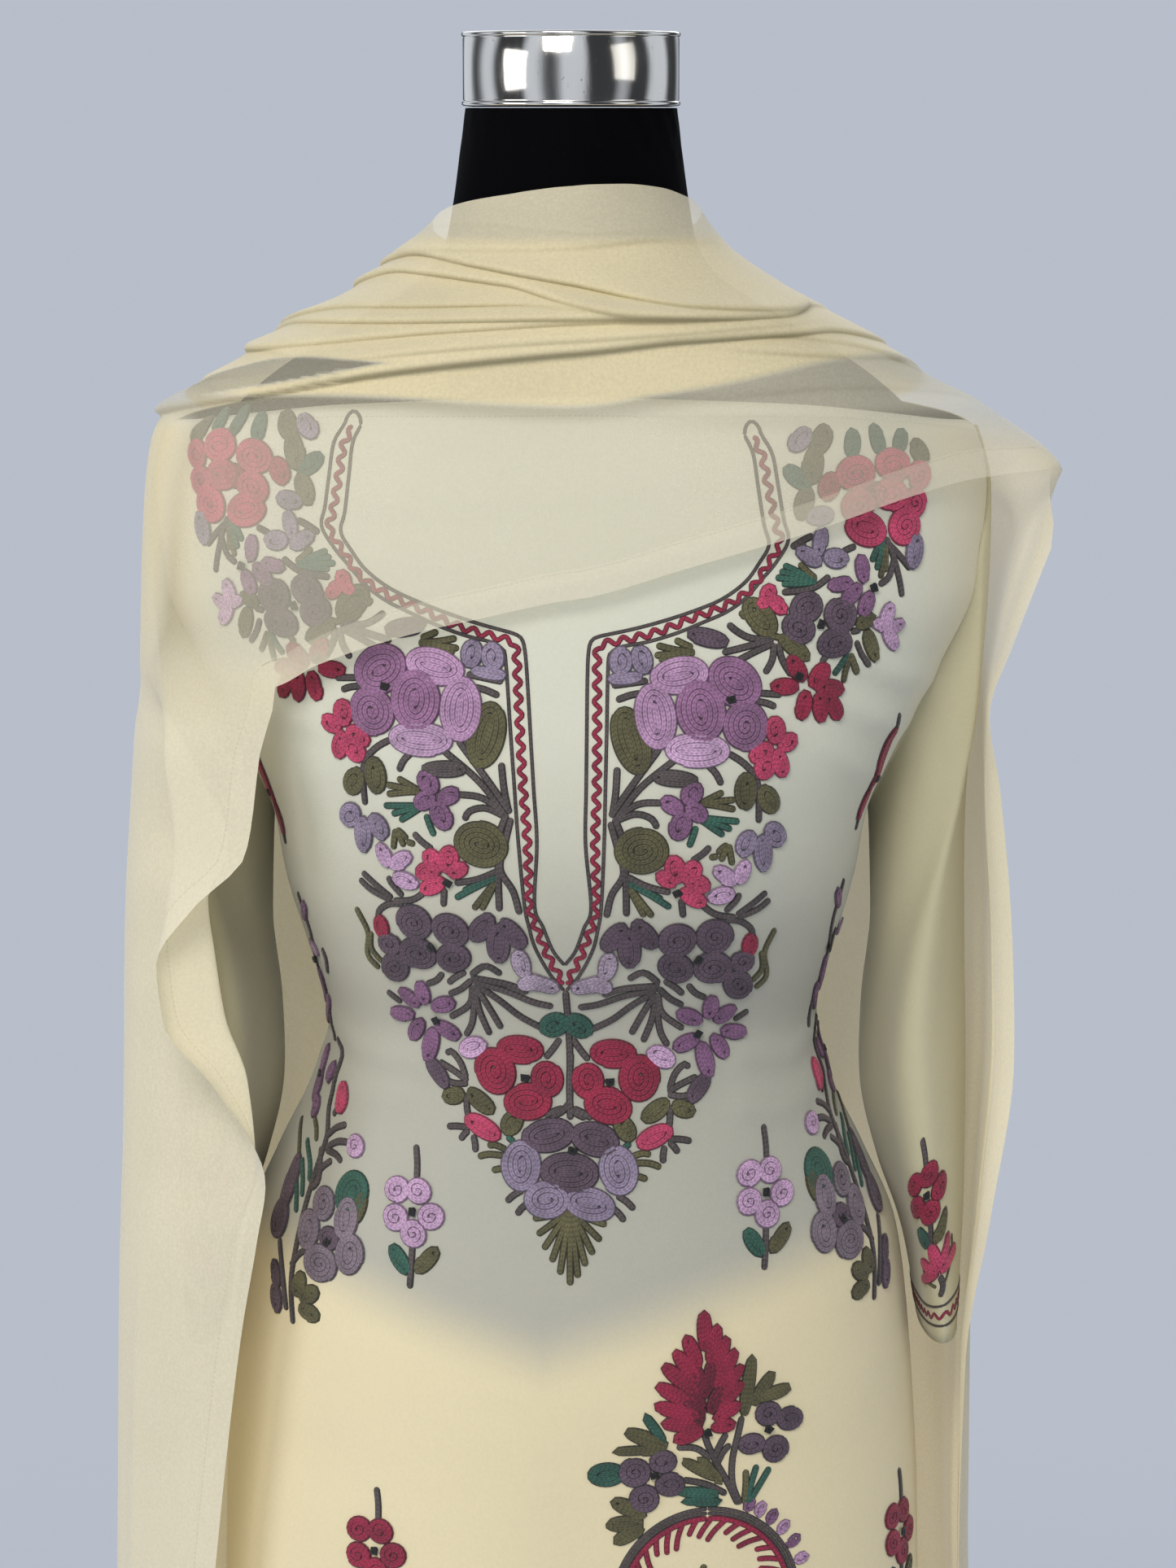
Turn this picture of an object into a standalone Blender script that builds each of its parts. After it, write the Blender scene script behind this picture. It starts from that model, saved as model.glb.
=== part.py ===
"""A salwar kameez suit shown on a limbless dress form with its stand.

Metres, +Z up. The suit faces -Y, and +X is on the right of a viewer in front of it. The origin is
the the centre of the stand's underside. Every cloth is a thin wall: its inner face is a grid of points
worked out from the tables below, and a Solidify modifier gives it its thickness outwards. Heights run
down each table. An angle is measured round the body from the centre front, positive towards +X.
"""

import math

import bmesh
import bpy
import numpy as np

CLOTH = 0.0012
SEAM_GAP = 0.0003
HALF_SEAM = SEAM_GAP / 2

BASE_RADIUS = 0.190
BASE_HEIGHT = 0.009
BASE_BEVEL = 0.003
POLE_X = 0.080
POLE_RADIUS = 0.016
COLLAR_RADIUS = 0.036
COLLAR_HEIGHT = 0.022
CAP_BOTTOM = 1.4783
CAP_TOP = 1.5160
CAP_RADIUS = 0.0550
CAP_ROUNDING = 0.0035
ROUND_SIDES = 40
FORM_SIDES = 26

BOAT_NECK_Z = 1.3415
SHOULDER_TIP_Z = 1.3180
UNDERARM_Z = 1.1250
BOAT_NECK_FADE_Z = 1.2620
SLEEVE_SEAM = 0.0014
SLIT_TOP_Z = 0.780
KAMEEZ_HEM_Z = 0.360
SLIT_SPREAD = 0.028
ARMHOLE_ROWS = 9
SKIRT_ROWS = 14
SKIRT_LEVELS = (0.0, 0.06, 0.15, 0.25, 0.38, 0.55, 0.76, 1.0)
FRONT_COLUMNS = 21
BACK_COLUMNS = 17
FRONT_STRETCH_COLUMNS = 24

BELT_TOP_Z = 0.8860
BELT_SAG = 0.0120
BELT_BOTTOM_Z = 0.7000
CROTCH_DROP = 0.0750
ANKLE_Z = 0.1050
CUFF_HEM_Z = 0.0450
LEG_PLEATS = 4
LEG_PLEAT_DEPTH = 0.0045

DUPATTA_END_Z = 0.4800
FALL_PLEATS = 4
FALL_PLEAT_DEPTH = 0.0100

CREAM = (0.86, 0.83, 0.68, 1.0)
PALE_CREAM = (0.90, 0.86, 0.69, 1.0)
BLACK = (0.012, 0.012, 0.014, 1.0)
CHROME = (0.80, 0.79, 0.77, 1.0)


def table(columns, *rows):
    """A table with named columns, as {column name: its values from top to bottom}."""
    return dict(zip(columns.split(), np.array(rows, float).T))


# Half-widths and depths of the padded form. square is the exponent of the superellipse that each ring is.
FORM = table(
    "z half front back square",
    (1.478, 0.0535, 0.0530, 0.0530, 2.0),
    (1.455, 0.0565, 0.0570, 0.0560, 2.0),
    (1.430, 0.0600, 0.0610, 0.0590, 2.0),
    (1.410, 0.0640, 0.0660, 0.0630, 2.0),
    (1.395, 0.0740, 0.0720, 0.0690, 2.0),
    (1.378, 0.1000, 0.0800, 0.0790, 2.1),
    (1.360, 0.1300, 0.0880, 0.0870, 2.2),
    (1.342, 0.1560, 0.0940, 0.0930, 2.3),
    (1.325, 0.1740, 0.0985, 0.0970, 2.4),
    (1.308, 0.1860, 0.1020, 0.1000, 2.4),
    (1.270, 0.1900, 0.1100, 0.1040, 2.4),
    (1.230, 0.1820, 0.1170, 0.1050, 2.4),
    (1.190, 0.1640, 0.1250, 0.1040, 2.5),
    (1.150, 0.1450, 0.1303, 0.1010, 2.6),
    (1.110, 0.1370, 0.1235, 0.0970, 2.5),
    (1.060, 0.1260, 0.1070, 0.0900, 2.3),
    (1.015, 0.1170, 0.0950, 0.0850, 2.2),
    (0.970, 0.1310, 0.0990, 0.0950, 2.2),
    (0.930, 0.1470, 0.1050, 0.1070, 2.2),
    (0.880, 0.1620, 0.1090, 0.1160, 2.2),
    (0.830, 0.1680, 0.1100, 0.1200, 2.2),
    (0.770, 0.1650, 0.1040, 0.1140, 2.2),
    (0.730, 0.1580, 0.0960, 0.1040, 2.2),
    (0.712, 0.1440, 0.0840, 0.0900, 2.2),
    (0.705, 0.1280, 0.0730, 0.0780, 2.2),
)

# The kameez over the form. edge is the angle of a panel's side edge: 90 at a seam, less at the armhole.
KAMEEZ = table(
    "z half front back square edge",
    (1.3455, 0.1590, 0.0985, 0.0985, 2.3, 90.0),
    (1.3364, 0.1720, 0.1010, 0.1010, 2.4, 90.0),
    (1.3290, 0.1850, 0.1030, 0.1020, 2.4, 90.0),
    (1.3180, 0.2040, 0.1060, 0.1040, 2.5, 90.0),
    (1.2870, 0.2100, 0.1130, 0.1080, 2.5, 79.0),
    (1.2450, 0.2080, 0.1210, 0.1100, 2.5, 75.0),
    (1.2030, 0.1900, 0.1280, 0.1100, 2.5, 75.0),
    (1.1610, 0.1670, 0.1310, 0.1080, 2.6, 79.0),
    (1.1250, 0.1510, 0.1300, 0.1050, 2.6, 90.0),
    (1.0926, 0.1455, 0.1250, 0.1010, 2.5, 90.0),
    (1.0540, 0.1350, 0.1120, 0.0960, 2.3, 90.0),
    (1.0150, 0.1250, 0.1010, 0.0920, 2.2, 90.0),
    (0.9780, 0.1350, 0.1045, 0.1000, 2.2, 90.0),
    (0.9450, 0.1510, 0.1090, 0.1100, 2.2, 90.0),
    (0.9015, 0.1690, 0.1150, 0.1210, 2.2, 90.0),
    (0.8570, 0.1750, 0.1180, 0.1270, 2.2, 90.0),
    (0.8130, 0.1785, 0.1190, 0.1290, 2.2, 90.0),
    (0.7680, 0.1810, 0.1190, 0.1290, 2.3, 90.0),
    (0.7140, 0.1820, 0.1190, 0.1270, 2.4, 90.0),
    (0.5500, 0.1900, 0.1200, 0.1230, 2.5, 90.0),
    (0.3600, 0.2020, 0.1210, 0.1220, 2.6, 90.0),
)

# The upper edge of a kameez panel, from its centre to the shoulder tip. across runs from 0 to 1.
BOAT_NECK = table(
    "across angle drop",
    (0.00, 0.0, 0.0000),
    (0.40, 36.0, 0.0002),
    (0.60, 55.0, 0.0008),
    (0.74, 70.0, 0.0020),
    (0.84, 87.0, 0.0051),
    (1.00, 89.6, 0.0235),
)

# The empty sleeve: the outer and inner ends of each ring, its half-depth, how far back it hangs, how far
# its middle stands out, and the share of the armhole's own curve in it.
SLEEVE = table(
    "outer_x outer_z inner_x inner_z depth back bulge armhole",
    (0.2090, 1.312, 0.1570, 1.118, 0.0450, 0.000, 0.0150, 1.00),
    (0.2080, 1.250, 0.1570, 1.088, 0.0480, 0.002, 0.0150, 0.50),
    (0.2050, 1.200, 0.1560, 1.058, 0.0500, 0.005, 0.0100, 0.20),
    (0.2020, 1.130, 0.1550, 1.015, 0.0550, 0.009, 0.0040, 0.00),
    (0.2020, 1.055, 0.1550, 0.970, 0.0590, 0.012, 0.0000, 0.00),
    (0.2030, 0.985, 0.1630, 0.932, 0.0600, 0.012, 0.0000, 0.00),
    (0.2030, 0.918, 0.1765, 0.893, 0.0590, 0.012, 0.0000, 0.00),
    (0.2020, 0.850, 0.1835, 0.847, 0.0560, 0.012, 0.0000, 0.00),
)

# One leg of the salwar. seam_x is where the leg panel meets its inner gore.
LEG = table(
    "z seam_x outer_x inner_x front back",
    (0.6997, 0.0016, 0.1665, 0.0016, 0.1090, 0.1190),
    (0.6200, 0.0110, 0.1600, 0.0020, 0.1040, 0.1120),
    (0.5000, 0.0300, 0.1520, 0.0040, 0.0950, 0.1000),
    (0.3600, 0.0450, 0.1440, 0.0120, 0.0850, 0.0880),
    (0.2200, 0.0600, 0.1310, 0.0220, 0.0720, 0.0740),
    (0.1050, 0.0720, 0.1150, 0.0320, 0.0580, 0.0600),
)

# The dupatta's outer face where it lies on the neck, shoulders and chest.
YOKE = table(
    "z half front back square",
    (1.4420, 0.0590, 0.0600, 0.0582, 2.0),
    (1.4300, 0.0635, 0.0670, 0.0630, 2.0),
    (1.4100, 0.0780, 0.0800, 0.0730, 2.0),
    (1.3900, 0.1060, 0.0930, 0.0860, 2.1),
    (1.3760, 0.1290, 0.1030, 0.0960, 2.2),
    (1.3600, 0.1560, 0.1100, 0.1040, 2.3),
    (1.3430, 0.1810, 0.1120, 0.1080, 2.4),
    (1.3290, 0.2030, 0.1150, 0.1110, 2.5),
    (1.3120, 0.2120, 0.1190, 0.1140, 2.5),
    (1.2800, 0.2160, 0.1260, 0.1180, 2.5),
    (1.2400, 0.2180, 0.1340, 0.1210, 2.5),
    (1.2000, 0.2190, 0.1400, 0.1230, 2.6),
)

# The dupatta's neck edge and front hem, by angle.
FRONT_EDGES = table(
    "angle top hem",
    (-160.0, 1.4020, 1.2300),
    (-120.0, 1.4120, 1.2250),
    (-80.0, 1.4260, 1.2100),
    (-54.0, 1.4320, 1.2010),
    (-36.0, 1.4350, 1.2010),
    (-28.0, 1.4362, 1.2129),
    (-22.0, 1.4373, 1.2208),
    (-14.0, 1.4385, 1.2300),
    (-7.0, 1.4394, 1.2368),
    (0.0, 1.4400, 1.2450),
    (10.0, 1.4408, 1.2590),
    (25.0, 1.4410, 1.2740),
    (47.0, 1.4390, 1.2915),
    (64.0, 1.4350, 1.2980),
    (80.0, 1.4310, 1.3000),
    (120.0, 1.4180, 1.2500),
    (160.0, 1.4020, 1.2300),
)

# Folds of the dupatta across the neck and chest: a soft ridge from one end to the other. Angles are in
# degrees, bow is how far its middle hangs, width is across the ridge and height is how far it stands out.
YOKE_FOLDS = table(
    "from_angle from_z to_angle to_z bow width height",
    (-70.0, 1.4080, 62.0, 1.3860, -0.004, 0.0110, 0.0060),
    (-84.0, 1.3960, 40.0, 1.3800, 0.006, 0.0090, 0.0055),
    (-100.0, 1.3860, 20.0, 1.3750, 0.004, 0.0080, 0.0050),
    (-112.0, 1.3770, 74.0, 1.3700, 0.002, 0.0090, 0.0050),
    (-104.0, 1.3600, 92.0, 1.3740, 0.000, 0.0120, 0.0060),
    (-84.0, 1.3400, 82.0, 1.3680, -0.004, 0.0130, 0.0040),
)

LEFT_FRONT_EDGE = -35.0
RIGHT_FRONT_EDGE = 78.0
FALL_BACK_EDGE = 158.0
EDGE_GAP_DEGREES = 0.25

# Across a hanging stretch: its places from front to back, and how far round the body each control point
# lies on the shoulder. Down it: the spacing of its rows, on the shoulder and below.
FALL_PLACES = ("hem", "turn", "tuck", "side", "back", "edge")
LEFT_SHARES = np.array([0.0, 0.20, 0.26, 0.32, 0.41, 0.52, 0.68, 0.87, 1.0])
RIGHT_SHARES = np.array([0.0, 0.02, 0.045, 0.09, 0.20, 0.42, 0.66, 0.88, 1.0])
YOKE_LEVELS = (0.0, 0.05, 0.11, 0.18, 0.25, 0.33, 0.46, 0.64, 0.83, 1.0)
YOKE_ROWS = 16
HANGING_LEVELS = (0.0, 0.08, 0.18, 0.28, 0.40, 0.58, 0.80, 1.0)

# The dupatta hanging at the viewer's left. Each pair is a place in plan, measured outwards from the
# centre and back from the side: the hem, its outer turn, its inner turn, the side, the back and the inner edge.
LEFT_FALL = table(
    "z hem_x hem_y turn_x turn_y tuck_x tuck_y side_x side_y back_x back_y edge_x edge_y",
    (1.1620, 0.1520, -0.1120, 0.2090, -0.0960, 0.1800, -0.0860, 0.2220, -0.0150, 0.1780, 0.1200, 0.0660, 0.1360),
    (1.1170, 0.1590, -0.1130, 0.2100, -0.0950, 0.1560, -0.0800, 0.2260, -0.0130, 0.1830, 0.1230, 0.0650, 0.1380),
    (1.0887, 0.1860, -0.1080, 0.2080, -0.0960, 0.1700, -0.0810, 0.2280, -0.0120, 0.1850, 0.1240, 0.0640, 0.1390),
    (1.0600, 0.2040, -0.1040, 0.2070, -0.0940, 0.1660, -0.0800, 0.2295, -0.0120, 0.1870, 0.1250, 0.0640, 0.1400),
    (1.0300, 0.2010, -0.1020, 0.2040, -0.0920, 0.1610, -0.0800, 0.2305, -0.0120, 0.1880, 0.1260, 0.0640, 0.1410),
    (0.9976, 0.1770, -0.1000, 0.1800, -0.0900, 0.1530, -0.0800, 0.2315, -0.0120, 0.1890, 0.1280, 0.0650, 0.1430),
    (0.9473, 0.1520, -0.0970, 0.1560, -0.0890, 0.1600, -0.0810, 0.2330, -0.0120, 0.1900, 0.1300, 0.0650, 0.1460),
    (0.9178, 0.1570, -0.0950, 0.1660, -0.0910, 0.1760, -0.0800, 0.2340, -0.0120, 0.1910, 0.1320, 0.0660, 0.1490),
    (0.8669, 0.1660, -0.0920, 0.1790, -0.0850, 0.1940, -0.0720, 0.2350, -0.0120, 0.1920, 0.1340, 0.0660, 0.1520),
    (0.7552, 0.1800, -0.0860, 0.1920, -0.0790, 0.2060, -0.0660, 0.2365, -0.0120, 0.1940, 0.1360, 0.0660, 0.1530),
    (0.6200, 0.1930, -0.0840, 0.2040, -0.0770, 0.2160, -0.0640, 0.2400, -0.0120, 0.1980, 0.1370, 0.0650, 0.1530),
    (0.4800, 0.2040, -0.0840, 0.2150, -0.0770, 0.2260, -0.0640, 0.2460, -0.0120, 0.2030, 0.1380, 0.0630, 0.1540),
)

# The dupatta hanging at the viewer's right, where its hem runs down the outer side.
RIGHT_FALL = table(
    "z hem_x hem_y turn_x turn_y tuck_x tuck_y side_x side_y back_x back_y edge_x edge_y",
    (1.2730, 0.2432, -0.0500, 0.2386, -0.0390, 0.2346, -0.0270, 0.2260, 0.0060, 0.1760, 0.1100, 0.0640, 0.1310),
    (1.2150, 0.2208, -0.0560, 0.2174, -0.0450, 0.2164, -0.0310, 0.2140, 0.0060, 0.1780, 0.1160, 0.0650, 0.1330),
    (1.1780, 0.2088, -0.0560, 0.2087, -0.0460, 0.2097, -0.0320, 0.2085, 0.0060, 0.1800, 0.1190, 0.0650, 0.1350),
    (1.1400, 0.2148, -0.0560, 0.2104, -0.0460, 0.2094, -0.0320, 0.2100, 0.0060, 0.1810, 0.1210, 0.0640, 0.1370),
    (1.0600, 0.2224, -0.0560, 0.2172, -0.0450, 0.2142, -0.0320, 0.2150, 0.0060, 0.1830, 0.1240, 0.0640, 0.1400),
    (1.0000, 0.2244, -0.0540, 0.2192, -0.0440, 0.2162, -0.0310, 0.2160, 0.0070, 0.1840, 0.1270, 0.0640, 0.1430),
    (0.9180, 0.2144, -0.0500, 0.2104, -0.0410, 0.2094, -0.0290, 0.2115, 0.0080, 0.1850, 0.1310, 0.0650, 0.1490),
    (0.8400, 0.2028, -0.0460, 0.2014, -0.0360, 0.2024, -0.0250, 0.2070, 0.0100, 0.1860, 0.1340, 0.0660, 0.1520),
    (0.7340, 0.2010, -0.0430, 0.2010, -0.0330, 0.2030, -0.0220, 0.2070, 0.0120, 0.1880, 0.1360, 0.0660, 0.1530),
    (0.6200, 0.2066, -0.0430, 0.2063, -0.0330, 0.2083, -0.0220, 0.2120, 0.0120, 0.1930, 0.1370, 0.0650, 0.1530),
    (0.4800, 0.2150, -0.0430, 0.2150, -0.0330, 0.2170, -0.0220, 0.2210, 0.0120, 0.1990, 0.1380, 0.0630, 0.1540),
)

# The rise of a flared corner where the hem turns over the viewer's right shoulder.
CORNER_ANGLE = 84.0
CORNER_Z = 1.2960
CORNER_FLARE = 0.0330
CORNER_SPAN = (16.0, 0.0260)
YOKE_TO_FALL = 0.0400


def through(keys, values, at):
    """A smooth curve through values at keys, with no bulge past them: a monotone cubic."""
    order = np.argsort(keys)
    x, y = np.asarray(keys)[order], np.asarray(values)[order]
    step = np.diff(x)
    rise = np.diff(y) / step
    slope = np.zeros(len(x))
    same_way = rise[:-1] * rise[1:] > 0
    w1 = 2 * step[1:] + step[:-1]
    w2 = step[1:] + 2 * step[:-1]
    safe = np.where(same_way, rise[:-1], 1.0), np.where(same_way, rise[1:], 1.0)
    slope[1:-1] = np.where(same_way, (w1 + w2) / (w1 / safe[0] + w2 / safe[1]), 0.0)
    slope[0], slope[-1] = rise[0], rise[-1]
    at = np.clip(at, x[0], x[-1])
    i = np.clip(np.searchsorted(x, at) - 1, 0, len(x) - 2)
    t = (at - x[i]) / step[i]
    return (
        y[i] * (1 + 2 * t) * (1 - t) ** 2
        + slope[i] * step[i] * t * (1 - t) ** 2
        + y[i + 1] * t**2 * (3 - 2 * t)
        + slope[i + 1] * step[i] * t**2 * (t - 1)
    )


def column(rows, name, z):
    """The named column of a table at the heights z."""
    return through(rows["z"], rows[name], z)


def ring(rows, angle, z, out=0.0):
    """Points of a superellipse ring: the table's body at height z and angle in degrees, out metres wider."""
    turn = np.radians(angle)
    power = 2 / column(rows, "square", z)
    side, ahead = np.sin(turn), np.cos(turn)
    half = column(rows, "half", z) + out
    depth = np.where(ahead > 0, column(rows, "front", z), column(rows, "back", z)) + out
    x = half * np.sign(side) * np.abs(side) ** power
    y = -depth * np.sign(ahead) * np.abs(ahead) ** power
    return np.stack(np.broadcast_arrays(x, y, z), axis=-1)


def spline_weights(count, at):
    """The weights of count control points of a clamped cubic B-spline at each value of at, from 0 to 1."""
    degree = min(3, count - 1)
    knots = np.concatenate([np.zeros(degree), np.linspace(0, 1, count - degree + 1), np.ones(degree)])
    last = np.minimum(np.searchsorted(knots, at, side="right") - 1, count - 1)
    basis = np.zeros((len(at), len(knots) - 1))
    basis[np.arange(len(at)), last] = 1.0
    for d in range(1, degree + 1):
        for i in range(len(knots) - 1 - d):
            left, right = knots[i + d] - knots[i], knots[i + d + 1] - knots[i + 1]
            grown = np.zeros(len(at))
            if left > 0:
                grown += (at - knots[i]) / left * basis[:, i]
            if right > 0:
                grown += (knots[i + d + 1] - at) / right * basis[:, i + 1]
            basis[:, i] = grown
    return basis[:, :count]


def spline(values, count):
    """A cubic B-spline through control values, read at count even steps."""
    return spline_weights(len(values), np.linspace(0, 1, count)) @ np.array(values)


def finish(name, mesh, colour, metallic=0.0, roughness=0.8):
    """Links a mesh as a named object with its own material."""
    obj = bpy.data.objects.new(name, mesh)
    material = bpy.data.materials.new(name)
    material.use_nodes = True
    shader = material.node_tree.nodes["Principled BSDF"]
    shader.inputs["Base Color"].default_value = colour
    shader.inputs["Metallic"].default_value = metallic
    shader.inputs["Roughness"].default_value = roughness
    mesh.materials.append(material)
    mesh.shade_smooth()
    bpy.context.scene.collection.objects.link(obj)
    return obj


def grid_mesh(name, points, closed):
    """A mesh of quads over points[row, column], facing outwards where rows run down and columns run round
    towards +X. closed joins the last column to the first."""
    rows, columns = points.shape[:2]
    mesh = bpy.data.meshes.new(name)
    faces = []
    for i in range(rows - 1):
        for j in range(columns if closed else columns - 1):
            k = (j + 1) % columns
            faces.append((i * columns + j, (i + 1) * columns + j, (i + 1) * columns + k, i * columns + k))
    mesh.from_pydata(points.reshape(-1, 3).tolist(), [], faces)
    return mesh


def cloth(name, points, colour=CREAM, closed=False):
    """A cloth wall whose inner face is the grid of points."""
    obj = finish(name, grid_mesh(name, points, closed), colour)
    wall = obj.modifiers.new("wall", "SOLIDIFY")
    wall.thickness = CLOTH
    wall.offset = 1
    return obj


def mirrored(points):
    """The same grid on the other side, with its columns turned round so that it still faces outwards."""
    return points[:, ::-1] * (-1, 1, 1)


def solid_of_rings(name, rings, colour, roughness):
    """A closed solid through rings[ring, point], with a flat face at each end."""
    mesh = grid_mesh(name, rings, closed=True)
    shape = bmesh.new()
    shape.from_mesh(mesh)
    bmesh.ops.holes_fill(shape, edges=shape.edges)
    bmesh.ops.recalc_face_normals(shape, faces=shape.faces)
    shape.to_mesh(mesh)
    shape.free()
    return finish(name, mesh, colour, roughness=roughness)


def turned(name, profile, colour, metallic, roughness, at=(0.0, 0.0)):
    """A solid turned about the vertical at (x, y): profile is (radius, height) from the top centre down
    its outer side to the bottom centre."""
    shape = bmesh.new()
    points = [shape.verts.new((radius, 0, height)) for radius, height in profile]
    edges = [shape.edges.new(pair) for pair in zip(points, points[1:])]
    bmesh.ops.spin(
        shape, geom=points + edges, axis=(0, 0, 1), cent=(0, 0, 0), steps=ROUND_SIDES, angle=math.tau
    )
    bmesh.ops.remove_doubles(shape, verts=shape.verts, dist=1e-5)
    bmesh.ops.recalc_face_normals(shape, faces=shape.faces)
    mesh = bpy.data.meshes.new(name)
    shape.to_mesh(mesh)
    shape.free()
    obj = finish(name, mesh, colour, metallic, roughness)
    mesh.set_sharp_from_angle(angle=math.radians(35))
    obj.location = (*at, 0)
    return obj


def make_form():
    """The padded torso, its chrome neck cap, and the pole, collar and round base that carry it."""
    angles = np.arange(FORM_SIDES) * 360 / FORM_SIDES
    rings = ring(FORM, angles[None, :], FORM["z"][:, None])
    solid_of_rings("form_torso", rings, BLACK, roughness=0.9)
    low, high = CAP_BOTTOM, CAP_TOP
    r, soft = CAP_RADIUS, CAP_ROUNDING
    cap = [(0, high), (r - soft, high), (r - 0.3 * soft, high - 0.3 * soft), (r, high - soft), (r, low), (0, low)]
    turned("neck_cap", cap, CHROME, 1.0, 0.1)
    pole_bottom = BASE_HEIGHT + SEAM_GAP
    pole_top = FORM["z"][-1] - SEAM_GAP
    pole = [(0, pole_top), (POLE_RADIUS, pole_top), (POLE_RADIUS, pole_bottom), (0, pole_bottom)]
    turned("pole", pole, CHROME, 1.0, 0.2, at=(POLE_X, 0))
    bore = POLE_RADIUS + SEAM_GAP
    collar_bottom = pole_top - COLLAR_HEIGHT
    collar = [
        (bore, pole_top),
        (COLLAR_RADIUS, pole_top),
        (COLLAR_RADIUS, pole_top - 0.3 * COLLAR_HEIGHT),
        (bore + 0.006, collar_bottom),
        (bore, collar_bottom),
        (bore, pole_top),
    ]
    turned("pole_collar", collar, CHROME, 1.0, 0.25, at=(POLE_X, 0))
    edge = BASE_RADIUS - BASE_BEVEL
    base = [(0, BASE_HEIGHT), (edge, BASE_HEIGHT), (BASE_RADIUS, BASE_HEIGHT - BASE_BEVEL), (BASE_RADIUS, 0), (0, 0)]
    turned("base", base, CHROME, 1.0, 0.2)


def panel_points(columns):
    """Angles and heights of a kameez panel, from its left edge to its right one. A row of its points lies
    at the underarm, so that the sleeve can share the points of the armhole."""
    upper = np.linspace(BOAT_NECK_Z, UNDERARM_Z, ARMHOLE_ROWS)
    lower = UNDERARM_Z + (KAMEEZ_HEM_Z - UNDERARM_Z) * spline(SKIRT_LEVELS, SKIRT_ROWS)[1:]
    level = np.concatenate([upper, lower])[:, None]
    across = np.linspace(-1, 1, columns)[None, :]
    near_top = np.clip((level - BOAT_NECK_FADE_Z) / (BOAT_NECK_Z - BOAT_NECK_FADE_Z), 0, 1)
    z = level - near_top * through(BOAT_NECK["across"], BOAT_NECK["drop"], np.abs(across))
    neck_angle = through(BOAT_NECK["across"], BOAT_NECK["angle"], np.abs(across))
    angle = (1 - near_top) * np.abs(across) * column(KAMEEZ, "edge", z) + near_top * neck_angle
    return np.sign(across) * angle, z


def skirt_hang(points, front):
    """Below the slits a panel's side edges part, and its middle hangs in shallow flutes."""
    x, y, z = points[..., 0], points[..., 1], points[..., 2]
    below = np.clip((SLIT_TOP_Z - z) / (SLIT_TOP_Z - KAMEEZ_HEM_Z), 0, 1)
    outer = np.clip((np.abs(x) / column(KAMEEZ, "half", z)) ** 6, 0, 1)
    way = -1 if front else 1
    flutes = 0.004 * np.sin(x / 0.030) * np.clip((0.86 - z) / 0.3, 0, 1)
    return np.stack([x, y + way * (HALF_SEAM + SLIT_SPREAD * below * outer) + flutes, z], axis=-1)


def make_kameez():
    """The front and back panels, sewn at the shoulders and sides down to the slits, and two sleeves."""
    angle, z = panel_points(FRONT_COLUMNS)
    front = skirt_hang(ring(KAMEEZ, angle, z), front=True)
    angle, z = panel_points(BACK_COLUMNS)
    back = skirt_hang(ring(KAMEEZ, 180 - angle, z)[:, ::-1], front=False)
    cloth("kameez_front", front)
    cloth("kameez_back", back)
    sleeve = sleeve_points(front[:ARMHOLE_ROWS, -1], back[:ARMHOLE_ROWS, 0])
    cloth("sleeve_right", sleeve, closed=True)
    cloth("sleeve_left", mirrored(sleeve), closed=True)


def sleeve_points(front_edge, back_edge):
    """The right sleeve: rings that turn from the upright armhole to the level cuff. The armhole is given
    as the panels' side edges, from the shoulder tip down to the underarm."""
    armhole = np.concatenate([back_edge, front_edge[-2:0:-1]])
    turn = np.arange(len(armhole)) / len(armhole) * math.tau
    ahead, side = np.cos(turn)[:, None], np.sin(turn)[:, None]
    armhole[[0, ARMHOLE_ROWS - 1], 1] = 0
    armhole = armhole + (1 + (1 - ahead) / 2) * (SLEEVE_SEAM, 0, 0)
    rings = [armhole]
    for outer_x, outer_z, inner_x, inner_z, depth, back, bulge, share in zip(*SLEEVE.values()):
        middle = np.array([(outer_x + inner_x) / 2, back, (outer_z + inner_z) / 2])
        reach = np.array([(outer_x - inner_x) / 2, 0, (outer_z - inner_z) / 2])
        level = middle + ahead * reach + side * (0, depth, 0) + side**2 * (bulge, 0, 0)
        lowered = armhole + (0.0025, 0, outer_z - SHOULDER_TIP_Z)
        rings.append(share * lowered + (1 - share) * level)
    return np.array(rings)


def leg_section(angle, z, edge_column):
    """Half of a leg's ring, from its front seam round to its back seam, by way of the named column."""
    turn = np.radians(angle)
    seam, reach = column(LEG, "seam_x", z), column(LEG, edge_column, z)
    depth = np.where(angle < 90, column(LEG, "front", z), column(LEG, "back", z))
    x = seam + (reach - seam) * np.sin(turn) ** 0.85
    y = -depth * np.sign(np.cos(turn)) * np.abs(np.cos(turn)) ** 0.9
    return x, y


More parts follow.
